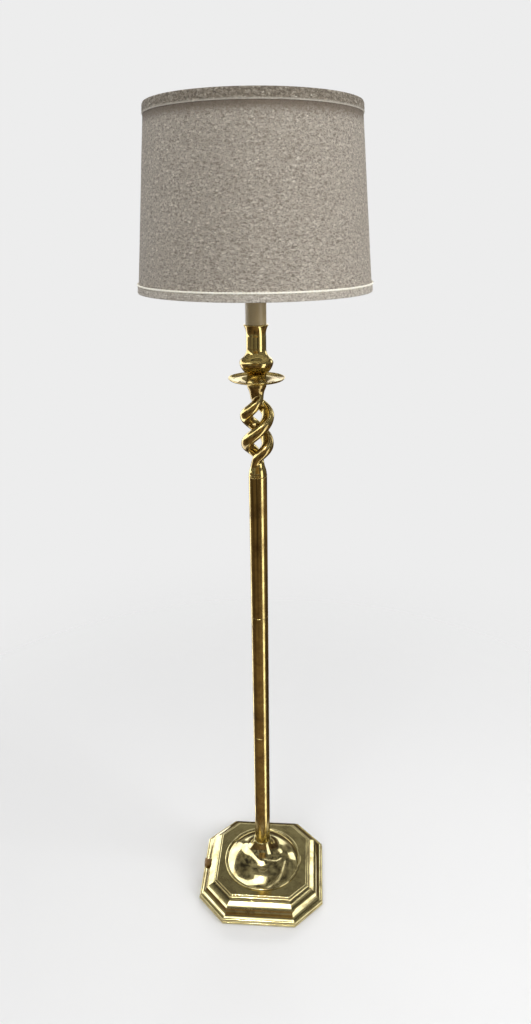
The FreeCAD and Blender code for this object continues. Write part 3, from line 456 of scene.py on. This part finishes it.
dress(plain("sheet steel, dark satin paint", "#37332E", "#2C2925", 0.55), "bottom_cover")
dress(plain("zinc-plated steel", "#B9B6A8", "#9C998C", 0.34, metal=1.0), "cover_screws",
      "pipe_washer", "pipe_nut", "lower_pipe", "upper_pipe")
dress(plain("cast iron, painted", "#2E2D2E", "#242324", 0.7, size_mm=1.5, bumps_mm=0.15),
      "base_weight")
dress(plain("brown plastic, moulded", "#8C6F4A", "#75593A", 0.38), "cord_bushing", "bushing_ring")
dress(plain("pale plastic, moulded", "#D8D4C8", "#C9C4B6", 0.5), "centring_rings")
dress(plain("fibre card", "#8F7550", "#7B6342", 0.85, size_mm=0.8, bumps_mm=0.06), "socket_liner")
dress(plain("black phenolic, moulded", "#1E1B19", "#171514", 0.38), "socket_core")
dress(plain("black plastic, glossy", "#191716", "#211E1C", 0.2, coat=0.4), "switch_knob")
# The sleeve's colour is partly its own bone enamel and partly painted shade from the shade above
# it.
dress(plain("bone-coloured enamel, satin", "#9C8B66", "#917F5B", 0.42, size_mm=4), "candle_sleeve")
dress(plain("rolled aluminium", "#C6C6C4", "#B0B0AE", 0.3, metal=1.0), "bulb_cap")
dress(plain("opal-coated glass", "#F1EEE6", "#ECE8DE", 0.12, coat=0.6, bumps_mm=0.0), "bulb_glass")
dress(plain("white-coated wire", "#E6E2D8", "#DAD5C9", 0.45), "shade_spider", "ring_low")
print("materials so far:", len(bpy.data.materials))

# %% [markdown]
# ## Turning a piece
#
# Most of this lamp was turned or spun about one line, so the script does the same: it
# draws half of the section, spins it round the axis, merges the seam and turns every
# face outwards.

# %% Helpers that turn a section
MERGE = 1e-6
CURVE_CUTS = 4


def keep(name, shape, material, body, slot, *replaced):
    """Make an object from a bmesh, give it its material and seat it on its body."""
    piece = new_object(name, shape)
    for face in piece.data.polygons:
        face.use_smooth = True
    piece.data.materials.append(material)
    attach(piece, body)
    if replaced:
        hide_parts(*replaced)
    print(name, "faces:", len(piece.data.polygons))
    return piece


def spin_round(shape, section, steps, centre=(0, 0, 0), axis=(0, 0, 1)):
    """Spin points and edges once round an axis, back to where they began."""
    bmesh.ops.spin(shape, geom=section, cent=centre, axis=axis, angle=2 * math.pi,
                   steps=steps, use_merge=True)


def close_up(shape):
    """Merge the points that coincide and turn every face outwards."""
    bmesh.ops.remove_doubles(shape, verts=shape.verts, dist=MERGE)
    bmesh.ops.recalc_face_normals(shape, faces=shape.faces)


def spin_section(section, steps):
    """Spin a closed section of (radius, height) corners in metres round the Z axis."""
    shape = bmesh.new()
    points, edges = draw_line(shape, [(radius, 0, height) for radius, height in section], True)
    spin_round(shape, points + edges, steps)
    close_up(shape)
    return shape


def rounded(corners, radius):
    """Round the corners of a section: each (radius, height) corner becomes a short curve."""
    result = []
    for index, corner in enumerate(corners):
        here = Vector(corner)
        back = Vector(corners[index - 1]) - here
        ahead = Vector(corners[(index + 1) % len(corners)]) - here
        reach = min(radius, back.length * 0.45, ahead.length * 0.45)
        first = here + back.normalized() * reach
        last = here + ahead.normalized() * reach
        for t in evenly(0, 1, CURVE_CUTS):
            result.append(tuple(first * (1 - t) ** 2 + here * 2 * t * (1 - t) + last * t ** 2))
    return result


# %% [markdown]
# ## Slub linen
#
# The shade is covered in a plain-weave linen, laminated to a stiff backing. Linen yarn is
# uneven: every few centimetres it swells into a slub, mostly in the weft, which runs
# round the shade. So the cloth is a fine weave, crossed by short thick horizontal lumps,
# some cream and some brown. A real thread is 0.5 mm; here it is drawn at 0.9 mm, the
# finest that shows at this size. Under the upper fold a thin shadow is painted on the
# cloth, and the fold's lower edge is painted paler, as a highlight.

# %% Linen
LINEN = "#B0A597"
LINEN_DARK = "#6B6156"
LINEN_LIGHT = "#F0E8DA"
LINEN_CREAM = "#F4EEDF"
# painted shadow: the colour the cloth darkens to just under the upper trim
PAINTED_TRIM_SHADOW = "#6C5E4E"
THREAD_MM = 0.9
WAVE_SCALE = 0.157  # a wave texture's half wave is this many metres over its scale
WEAVE_SHARE = 0.25


def cloth_place(tree, across=1.0, along=1.0):
    """Return the point on the flat cloth in metres, stretched across or along."""
    point = add(tree, "ShaderNodeUVMap", {"uv_map": "cloth"}).outputs[0]
    return add(tree, "ShaderNodeMapping", vector=point, scale=(across, along, 1)).outputs[0]


def weave_height(tree):
    """Return the height of a plain weave: threads one way, crossed by threads the other."""
    threads = [add(tree, "ShaderNodeTexWave", {"bands_direction": direction},
                   vector=cloth_place(tree), scale=WAVE_SCALE / (THREAD_MM * MM),
                   distortion=1.5, detail=2.0, detail_scale=1.5) for direction in ("X", "Y")]
    return calculate(tree, "MAXIMUM", *(wave.outputs[1] for wave in threads))


def linen(name, base=LINEN, dark=LINEN_DARK, light=LINEN_LIGHT, shadow_level=None, edge=None):
    """Plain-weave linen with slubs, a painted shadow below a level and a painted highlight over a
    fold's edge.
    """
    material, tree, shader = new_material(name)
    weft = noise(tree, cloth_place(tree, 0.55, 1.0), 2.6, 3, 0.65, 0.9)
    warp = noise(tree, cloth_place(tree, 1.0, 0.7), 2.4, 3, 0.65, 0.9)
    rare = noise(tree, cloth_place(tree, 0.6, 1.0), 3.2, 1, 0.5)
    slub = calculate(tree, "MAXIMUM", ramp(tree, weft, 0.5, 0.66),
                     ramp(tree, warp, 0.54, 0.7, 0, 0.8))
    layers = [(ramp(tree, weft, 0.5, 0.36, 0, 0.85), dark),
              (ramp(tree, warp, 0.46, 0.34, 0, 0.6), dark),
              (ramp(tree, slub, 0, 1, 0, 0.75), light),
              (ramp(tree, rare, 0.7, 0.76, 0, 0.9), LINEN_CREAM)]
    up = add(tree, "ShaderNodeSeparateXYZ", vector=cloth_place(tree)).outputs[1]
    # painted highlight: a pale line just above the lower edge of the fold
    if edge:
        layers.append((ramp(tree, up, edge + 2.4 * MM, edge + 0.8 * MM, 0, 0.6), LINEN_LIGHT))
    # painted shadow: the cloth darkens over the last centimetre or so below the given level
    if shadow_level:
        layers.append((ramp(tree, up, shadow_level - 15 * MM, shadow_level - 4 * MM, 0, 0.85), PAINTED_TRIM_SHADOW))
    colour = base
    for amount, tone in layers:
        colour = blend_colours(tree, amount, colour, tone)
    height = calculate(tree, "MULTIPLY_ADD", weave_height(tree), WEAVE_SHARE, slub)
    bump = add(tree, "ShaderNodeBump", strength=1.0, distance=0.9 * MM, height=height)
    fill(tree, shader, base_color=colour, normal=bump.outputs[0], roughness=0.92,
         specular_ior_level=0.2, sheen_weight=0.15, sheen_roughness=0.6)
    return material


UPPER_TRIM_FOOT = Vector(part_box("trim_high")[0]).z
LOWER_TRIM_TOP = Vector(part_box("trim_low")[1]).z
shade_linen = linen("slub linen, laminated", shadow_level=UPPER_TRIM_FOOT)
# The upper fold's linen is the cloth's linen painted darker, as painted shade.
upper_linen_painted_shade = linen("slub linen, folded, shaded", "#827767", "#564E43", "#CBC1B0",
                    edge=UPPER_TRIM_FOOT)
lower_linen = linen("slub linen, folded, pale", "#C9C0B3", "#8C8173", "#F6F0E4")
print("linens:", [cloth.name for cloth in (shade_linen, upper_linen_painted_shade, lower_linen)])

# %% [markdown]
# ## The shade
#
# The cloth is a cone rolled from one flat piece, with its ends lapped and glued at the
# back. It is a firm shell a little over a millimetre thick, so it is turned from a
# section and then given the slight unevenness of hand work: the surface wanders in and
# out by a fraction of a millimetre, which breaks up the light along it. Laid flat, a cone
# is part of a ring, so the cloth is cut from a rectangle that just holds that arc. Each
# face also gets its place on the flat cloth, kept as a UV map in metres, so that the
# weave follows the cloth round the shade.

# %% Shade cloth
shade_low, shade_high = (Vector(corner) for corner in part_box("shade_cloth"))
LOW_RADIUS = shade_high.x
SHADE_BOTTOM = shade_low.z
SHADE_TOP = shade_high.z
CLOTH_THICK = 1.2 * MM
CLOTH_STEPS = 240
CLOTH_SWAY = 50 * MM
WANDER = 0.25 * MM
FOLD_WALL = 0.4 * MM
FOLD_GAP = 0.1 * MM
ROWS = 40


def top_radius():
    """Measure the shade cloth's outer radius at its upper edge, from the model's mesh."""
    corners = nodes["shade_cloth"].data.vertices
    return max(c.co.xy.length for c in corners if c.co.z > SHADE_TOP - 1 * MM)


HIGH_RADIUS = top_radius()


def cloth_radius(height):
    """Return the outer radius of the cloth at a height above the floor."""
    share = (height - SHADE_BOTTOM) / (SHADE_TOP - SHADE_BOTTOM)
    return LOW_RADIUS + (HIGH_RADIUS - LOW_RADIUS) * share


def wander(shape, amount, size):
    """Let a turned surface wander in and out a little, as hand work does."""
    for vert in shape.verts:
        outwards = Vector((vert.co.x, vert.co.y, 0)).normalized()
        drift = drift_noise.noise(vert.co / size)
        vert.co += outwards * drift * amount


def unroll(shape, mean_radius):
    """Lay the faces flat in a UV map: metres round the piece, and metres up it or tucked in."""
    layer = shape.loops.layers.uv.new("cloth")
    for face in shape.faces:
        middle = face.calc_center_median()
        home = math.atan2(middle.x, -middle.y)
        for loop in face.loops:
            point = loop.vert.co
            turn = math.atan2(point.x, -point.y)
            turn += 2 * math.pi * round((home - turn) / (2 * math.pi))
            tucked = min(0.0, point.xy.length - cloth_radius(point.z))
            loop[layer].uv = (turn * mean_radius, point.z + tucked)


def make_shade_cloth():
    """Turn the shade's cloth. Its cut edges end just inside the folds of the trims."""
    heights = evenly(SHADE_BOTTOM + FOLD_WALL + FOLD_GAP, SHADE_TOP - FOLD_WALL - FOLD_GAP, ROWS)
    outside = [(cloth_radius(height), height) for height in heights]
    inside = [(radius - CLOTH_THICK, height) for radius, height in reversed(outside)]
    shape = spin_section(outside + inside, CLOTH_STEPS)
    wander(shape, WANDER, CLOTH_SWAY)
    unroll(shape, (LOW_RADIUS + HIGH_RADIUS) / 2)
    piece = keep("shade_linen_cover", shape, shade_linen, "shade", "shade_linen", "shade_cloth")
    return piece


shade_cover = make_shade_cloth()

# %% [markdown]
# ## Trims and piping
#
# A strip of the same linen is folded over each wire ring and glued down. The fold makes
# the edge soft and thick: it stands proud of the cloth. The upper fold is painted darker, as
# shade, and a thin painted shadow lies on the cloth under it. The lower trim is finished
# with a pale cord, glued along its upper edge.

# %% Trims
TRIM_ROWS = 16
TRIM_STEPS = 360
TRIM_SWAY = 9 * MM
EDGE_FULLNESS = 0.55
FILLING_OUT = 3.2
CREASES = (0.3, 0.62)
CREASE_WIDTH = 0.05
CREASE_DEPTH = 0.3
INSIDE_FOLD = 9 * MM
INSIDE_EDGE = 0.9 * MM
WIRE_ROOM = 3.8 * MM
WIRE_ROOM_LEVELS = (2 * MM, 4 * MM)


def trim_fullness(share):
    """Return how full the folded strip is, from 0 to 1, at a share of its height."""
    full = min(1.0, EDGE_FULLNESS + FILLING_OUT * min(share, 1 - share))
    for crease in CREASES:
        full -= CREASE_DEPTH * math.exp(-((share - crease) / CREASE_WIDTH) ** 2)
    return full


def make_trim(name, node, material, at_top):
    """Turn a folded strip that wraps the edge of the shade from outside to inside."""
    low, high = (Vector(corner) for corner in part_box(node))
    proud = high.x - cloth_radius(low.z)
    rim, edge = (high.z, low.z) if at_top else (low.z, high.z)
    inwards = -1 if at_top else 1
    outer = []
    for share in evenly(0, 1, TRIM_ROWS):
        height = edge + (rim - edge) * share
        outer.append((cloth_radius(height) + proud * trim_fullness(share), height))
    inner_radius = cloth_radius(rim) - CLOTH_THICK
    inner = [(inner_radius - WIRE_ROOM * 0.6, rim)]
    inner += [(inner_radius - WIRE_ROOM, rim + inwards * level) for level in WIRE_ROOM_LEVELS]
    inner += [(inner_radius - INSIDE_EDGE, rim + inwards * INSIDE_FOLD)]
    back = [(inner_radius - FOLD_GAP, rim + inwards * INSIDE_FOLD),
            (inner_radius - FOLD_GAP, rim + inwards * FOLD_WALL),
            (cloth_radius(rim) + FOLD_GAP, rim + inwards * FOLD_WALL),
            (cloth_radius(edge) + FOLD_GAP, edge)]
    shape = spin_section(outer + inner + back, TRIM_STEPS)
    wander(shape, WANDER, TRIM_SWAY)
    unroll(shape, cloth_radius(rim))
    keep(name, shape, material, "shade", "trim_linen", node)


make_trim("upper_trim", "trim_high", upper_linen_painted_shade, True)
make_trim("lower_trim", "trim_low", lower_linen, False)

# %% Lining and lap
LAP_WIDTH = 12 * MM
LAP_THICK = 0.75 * MM
LAP_SUNK = 0.2 * MM
LAP_ROUND = 0.35 * MM
LAP_STEPS = 6


def line_shade(piece):
    """Give the inside of the shade its pale laminated backing."""
    piece.data.materials.append(plain("styrene backing, pale", "#EDE9DF", "#E5E0D4", 0.5))
    for face in piece.data.polygons:
        if face.normal.dot(Vector((face.center.x, face.center.y, 0)).normalized()) < -0.3:
            face.material_index = 1


def make_lap():
    """Spin the lapped end of the cloth through a narrow angle at the back of the shade."""
    turn = LAP_WIDTH / HIGH_RADIUS
    heights = evenly(LOWER_TRIM_TOP, UPPER_TRIM_FOOT, ROWS)
    outside = [(cloth_radius(height) + LAP_THICK, height) for height in heights]
    inside = [(cloth_radius(height) - LAP_SUNK, height) for height in reversed(heights)]
    shape = bmesh.new()
    section = shape.faces.new([shape.verts.new((radius, 0, height))
                               for radius, height in outside + inside])
    to_the_back = Matrix.Rotation((math.pi - turn) / 2, 3, "Z")
    bmesh.ops.rotate(shape, verts=shape.verts, matrix=to_the_back)
    bmesh.ops.spin(shape, geom=[section], cent=(0, 0, 0), axis=(0, 0, 1), angle=turn,
                   steps=LAP_STEPS)
    bmesh.ops.recalc_face_normals(shape, faces=shape.faces)
    wander(shape, WANDER, CLOTH_SWAY)
    row = (UPPER_TRIM_FOOT - LOWER_TRIM_TOP) / ROWS
    corners = [edge for edge in shape.edges if len(edge.link_faces) == 2
               and edge.calc_face_angle() > 1 and edge.calc_length() < 2 * row
               and min(v.co.xy.length - cloth_radius(v.co.z) for v in edge.verts) > 0]
    bmesh.ops.bevel(shape, geom=corners, offset=LAP_ROUND, segments=2, profile=0.5,
                    affect="EDGES", material=-1)
    unroll(shape, HIGH_RADIUS)
    keep("shade_lap_seam", shape, shade_linen, "shade", "shade_linen")


line_shade(shade_cover)
make_lap()

# %% Piping
CORD_TURN = 4.5 * MM
CORD_SIDES = 12
STEPS_A_TURN = 8
CORD_CORE = 0.85
PLY_SWELL = 0.35


def make_piping():
    """Spin a round section along the lower trim, then press in the plies of a twisted cord."""
    low, high = (Vector(corner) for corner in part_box("shade_piping"))
    thick = (high.z - low.z) / 2
    middle = high.x - thick
    turns = round(2 * math.pi * middle / CORD_TURN)
    upright = Matrix.Translation((middle, 0, low.z + thick)) @ Matrix.Rotation(math.pi / 2, 4, "X")
    shape = bmesh.new()
    bmesh.ops.create_circle(shape, segments=CORD_SIDES, radius=thick, matrix=upright)
    spin_round(shape, shape.verts[:] + shape.edges[:], turns * STEPS_A_TURN)
    close_up(shape)
    for vert in shape.verts:
        angle = math.atan2(vert.co.y, vert.co.x)
        outwards = Vector((math.cos(angle), math.sin(angle), 0))
        core = outwards * middle + Vector((0, 0, low.z + thick))
        lean = math.atan2(vert.co.z - core.z, (vert.co - core).dot(outwards))
        ply = abs(math.cos(lean - angle * turns / 2))
        vert.co = core.lerp(vert.co, CORD_CORE + PLY_SWELL * ply)
    cord = plain("twisted cotton cord, cream", "#FFFDF3", "#F6F0DC", 0.85, size_mm=0.4,
                 bumps_mm=0.1)
    keep("shade_cord_piping", shape, cord, "shade", "piping_cord", "shade_piping")


make_piping()

# %% [markdown]
# ## Barley twist
#
# The twist is one casting: two round strands that open out from a collar and close again
# in a slim neck. On the real casting they don't stop there. They run on as low ridges
# over the collar and up the neck, and melt into them. So each strand is a tube whose
# middle line winds in and out, the collar and the neck are turned, and a fine remesh
# joins them into one skin, which a few rounds of smoothing then ease as polishing does.

# %% Barley twist: the line of a strand
twist_low, twist_high = (Vector(corner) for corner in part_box("barley_twist"))
TWIST_FOOT = twist_low.z
TWIST_TOP = twist_high.z
STRAND_LOW = TWIST_FOOT + 21 * MM
STRAND_HIGH = TWIST_FOOT + 135 * MM
WIDEST_LEVEL = TWIST_FOOT + 99 * MM
PITCH = 91 * MM
REACH_LOW = 15.9 * MM
REACH_HIGH = 17.9 * MM
RIDGE_REACH = 5.2 * MM
RIDGE_FLARE = 2.0 * MM
RIDGE_RADIUS = 7.0 * MM
STRAND_RADIUS = 9.7 * MM
OPEN_OVER = 33 * MM
OPEN_FROM = 2 * MM
COLLAR_FLARE = 18 * MM
NECK_FLARE = 14 * MM
RIDGE_TURN = 0.35


def eased(value, low, high):
    """Return 0 below low and 1 above high, with a smooth rise between."""
    share = max(0.0, min(1.0, (value - low) / (high - low)))
    return share * share * (3 - 2 * share)


def strand_opening(level):
    """Return how far the strands stand open at a level, from 0 to 1."""
    return eased(level, STRAND_LOW - OPEN_FROM, STRAND_LOW + OPEN_OVER) * (
        1 - eased(level, STRAND_HIGH - OPEN_OVER, STRAND_HIGH + OPEN_FROM))


def strand_middle(level, strand):
    """Return the middle of a strand at a level. Past its ends it runs on as a slow ridge."""
    flare = max(eased(STRAND_LOW - level, 0, COLLAR_FLARE),
                eased(level - STRAND_HIGH, 0, NECK_FLARE))
    ridge = RIDGE_REACH + RIDGE_FLARE * flare
    share = (level - STRAND_LOW) / (STRAND_HIGH - STRAND_LOW)
    wide = REACH_LOW + (REACH_HIGH - REACH_LOW) * share
    reach = ridge + (wide - ridge) * strand_opening(level)
    held = max(STRAND_LOW, min(STRAND_HIGH, level))
    turn = (held - WIDEST_LEVEL + RIDGE_TURN * (level - held)) / PITCH + strand / 2
    angle = 2 * math.pi * turn
    return Vector((reach * math.cos(angle), reach * math.sin(angle), level))


def strand_seat(level, strand):
    """Return the matrix that sets a unit circle square on a strand, with its X side outwards."""
    middle = strand_middle(level, strand)
    nudge = 0.5 * MM
    ahead = strand_middle(level + nudge, strand) - strand_middle(level - nudge, strand)
    ahead.normalize()
    across = ahead.cross(Vector((middle.x, middle.y, 0))).normalized()
    turned = Matrix((across.cross(ahead), across, ahead)).transposed().to_4x4()
    thick = RIDGE_RADIUS + (STRAND_RADIUS - RIDGE_RADIUS) * strand_opening(level)
    return Matrix.Translation(middle) @ turned @ Matrix.Scale(thick, 4)


print("turns of each strand:", round((STRAND_HIGH - STRAND_LOW) / PITCH, 2))

# %% Barley twist: the casting
STRAND_STEPS = 150
STRAND_SIDES = 40
END_STEPS = 96
BORE_SIDES = 48
IN_COLLAR = 5 * MM
IN_NECK = 6 * MM
CAST_SKIN = 0.7 * MM
POLISH_ROUNDS = 12
BORE_FIT = 0.1 * MM

# Sections of the casting's ends: (radius, height above its foot) in millimetres.
COLLAR = [(14.7, 0), (15.2, 0.5), (15.2, 2.2), (14.6, 3.0), (14.4, 7), (13.2, 12), (11.4, 18),
          (10.4, 24), (7, 30)]
NECK = [(6, 124), (9.4, 128), (10.6, 133), (12.2, 140), (14.6, 145.6), (15.2, 147), (15.2, 151),
        (14.6, 151.9)]


def turn_end(shape, section):
    """Turn one end of the casting from a section in millimetres above its foot."""
    rows = [(0, section[0][1])] + section + [(0, section[-1][1])]
    points, edges = draw_line(shape, [(radius * MM, 0, TWIST_FOOT + height * MM)
                                      for radius, height in rows])
    spin_round(shape, points + edges, END_STEPS)


def add_strand(shape, strand):
    """Extrude a disc along one strand, from inside the collar to inside the neck."""
    levels = evenly(TWIST_FOOT + IN_COLLAR, TWIST_TOP - IN_NECK, STRAND_STEPS)
    here = strand_seat(levels[0], strand)
    disc = bmesh.ops.create_circle(shape, cap_ends=True, segments=STRAND_SIDES, radius=1,
                                   matrix=here)
    face = disc["verts"][0].link_faces[0]
    for level in levels[1:]:
        ahead = strand_seat(level, strand)
        grown = bmesh.ops.extrude_face_region(shape, geom=[face])["geom"]
        face = next(part for part in grown if isinstance(part, bmesh.types.BMFace))
        bmesh.ops.transform(shape, matrix=ahead @ here.inverted(), verts=face.verts[:])
        here = ahead


def make_drill():
    """Make the two drills that bore the casting for the pipes below and above it."""
    shape = bmesh.new()
    for pipe, start in (("lower_pipe", TWIST_FOOT), ("upper_pipe", TWIST_TOP)):
        low, high = (Vector(corner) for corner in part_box(pipe))
        tip = high.z + 2 * BORE_FIT if pipe == "lower_pipe" else low.z - 2 * BORE_FIT
        mouth = start + (start - tip) / 4
        bmesh.ops.create_cone(shape, cap_ends=True, segments=BORE_SIDES,
                              radius1=high.x + BORE_FIT, radius2=high.x + BORE_FIT,
                              depth=abs(mouth - tip),
                              matrix=Matrix.Translation((0, 0, (mouth + tip) / 2)))
    return new_object("drill", shape)


def make_twist():
    """Join the collar, the two strands and the neck into one casting, and bore its ends."""
    shape = bmesh.new()
    turn_end(shape, COLLAR)
    turn_end(shape, NECK)
    bmesh.ops.remove_doubles(shape, verts=shape.verts, dist=MERGE)
    add_strand(shape, 0)
    add_strand(shape, 1)
    bmesh.ops.recalc_face_normals(shape, faces=shape.faces)
    piece = keep("twist_casting", shape, brass("cast brass, polished"), "stand", "twist_brass",
                 "barley_twist")
    skin = piece.modifiers.new("one skin", "REMESH")
    skin.mode = "VOXEL"
    skin.voxel_size = CAST_SKIN
    skin.use_smooth_shade = True
    polish = piece.modifiers.new("polishing", "SMOOTH")
    polish.factor = 0.5
    polish.iterations = POLISH_ROUNDS
    drill = make_drill()
    bores = piece.modifiers.new("bores", "BOOLEAN")
    bores.object = drill
    bores.solver = "EXACT"
    cast = piece.evaluated_get(bpy.context.evaluated_depsgraph_get())
    finished = bpy.data.meshes.new_from_object(cast)
    piece.modifiers.clear()
    piece.data = finished
    bpy.data.objects.remove(drill)
    print("twist_casting faces once cast and bored:", len(finished.polygons))


make_twist()

# %% [markdown]
# ## Cord bushing
#
# The lead would leave the base through a moulded bushing in its left side. It is a plain
# barrel with a rounded lip outside, turned about its own axis, which runs along X.

# %% Cord bushing
LIP_RADIUS = 9.0 * MM
LIP_THICK = 4.5 * MM
LIP_OUT = 1.5 * MM
LIP_ROUND = 1.6 * MM
BUSHING_BORE = 3.6 * MM
BUSHING_STEPS = 64


def make_bushing():
    """Turn the bushing with its rounded outer lip."""
    low, high = (Vector(corner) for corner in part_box("cord_bushing"))
    barrel = (high.z - low.z) / 2
    level = (high.z + low.z) / 2
    outer = low.x - LIP_OUT
    behind = outer + LIP_THICK
    curve = CURVE_CUTS + 1
    lip = rounded([(outer, BUSHING_BORE), (outer, LIP_RADIUS), (behind, LIP_RADIUS),
                   (behind, barrel)], LIP_ROUND)[curve:-curve]
    section = [(outer, BUSHING_BORE)] + lip
    section += [(behind, barrel), (high.x, barrel), (high.x, BUSHING_BORE)]
    shape = bmesh.new()
    points, edges = draw_line(shape, [(along, 0, level + radius) for along, radius in section],
                              True)
    spin_round(shape, points + edges, BUSHING_STEPS, centre=(0, 0, level), axis=(1, 0, 0))
    close_up(shape)
    brown = plain("brown nylon, moulded", "#8C6F4A", "#75593A", 0.36)
    keep("bushing_with_lip", shape, brown, "stand", "bushing_plastic", "cord_bushing")


make_bushing()

# %% [markdown]
# ## Felt
#
# The sheet under the base is pressed wool felt, cut with a knife and glued on. Its edge
# is soft and a little ragged. It is made from a copy of the model's own sheet, whose loose
# triangles are merged before its rims are rounded.

# %% Felt
FELT_MERGE = 1e-5
FELT_ROUND = 0.5 * MM
FELT_SWAY = 4 * MM
FELT_UNEVEN = 0.0016
LONG_EDGE = 20 * MM
LONG_EDGE_CUTS = 24


def wool_felt():
    """Pressed wool: clouded green with a fuzz of paler fibres."""
    material, tree, shader = new_material("pressed wool felt, green")
    cloudy = noise(tree, object_place(tree), 9, 4, 0.6)
    fuzz = noise(tree, object_place(tree, (1, 0.4, 1)), 0.6, 4, 0.7)
    mixed = blend_colours(tree, ramp(tree, cloudy, 0.35, 0.7), "#2E3B2E", "#243024")
    mixed = blend_colours(tree, ramp(tree, fuzz, 0.45, 0.75, 0, 0.5), mixed, "#4B5A49")
    bump = add(tree, "ShaderNodeBump", strength=0.8, distance=0.4 * MM, height=fuzz)
    fill(tree, shader, base_color=mixed, normal=bump.outputs[0], roughness=0.95,
         sheen_weight=0.3)
    return material


def make_felt():
    """Cut the felt with a soft, slightly uneven edge."""
    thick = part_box("felt_pad")[1][2]
    shape = bmesh.new()
    shape.from_mesh(nodes["felt_pad"].data)
    bmesh.ops.remove_doubles(shape, verts=shape.verts, dist=FELT_MERGE)
    bmesh.ops.dissolve_limit(shape, angle_limit=math.radians(3), verts=shape.verts,
                             edges=shape.edges)
    bmesh.ops.recalc_face_normals(shape, faces=shape.faces)
    rims = [edge for edge in shape.edges if edge.is_manifold and edge.calc_face_angle() > 1]
    bmesh.ops.bevel(shape, geom=rims, offset=FELT_ROUND, segments=3, profile=0.5,
                    affect="EDGES", material=-1)
    long_edges = [edge for edge in shape.edges if edge.calc_length() > LONG_EDGE]
    bmesh.ops.subdivide_edges(shape, edges=long_edges, cuts=LONG_EDGE_CUTS)
    for vert in shape.verts:
        if 0.1 * MM < vert.co.z < thick - 0.1 * MM:
            vert.co.xy *= 1 + FELT_UNEVEN * drift_noise.noise(vert.co / FELT_SWAY)
    keep("felt_sheet", shape, wool_felt(), "stand", "felt", "felt_pad")


make_felt()
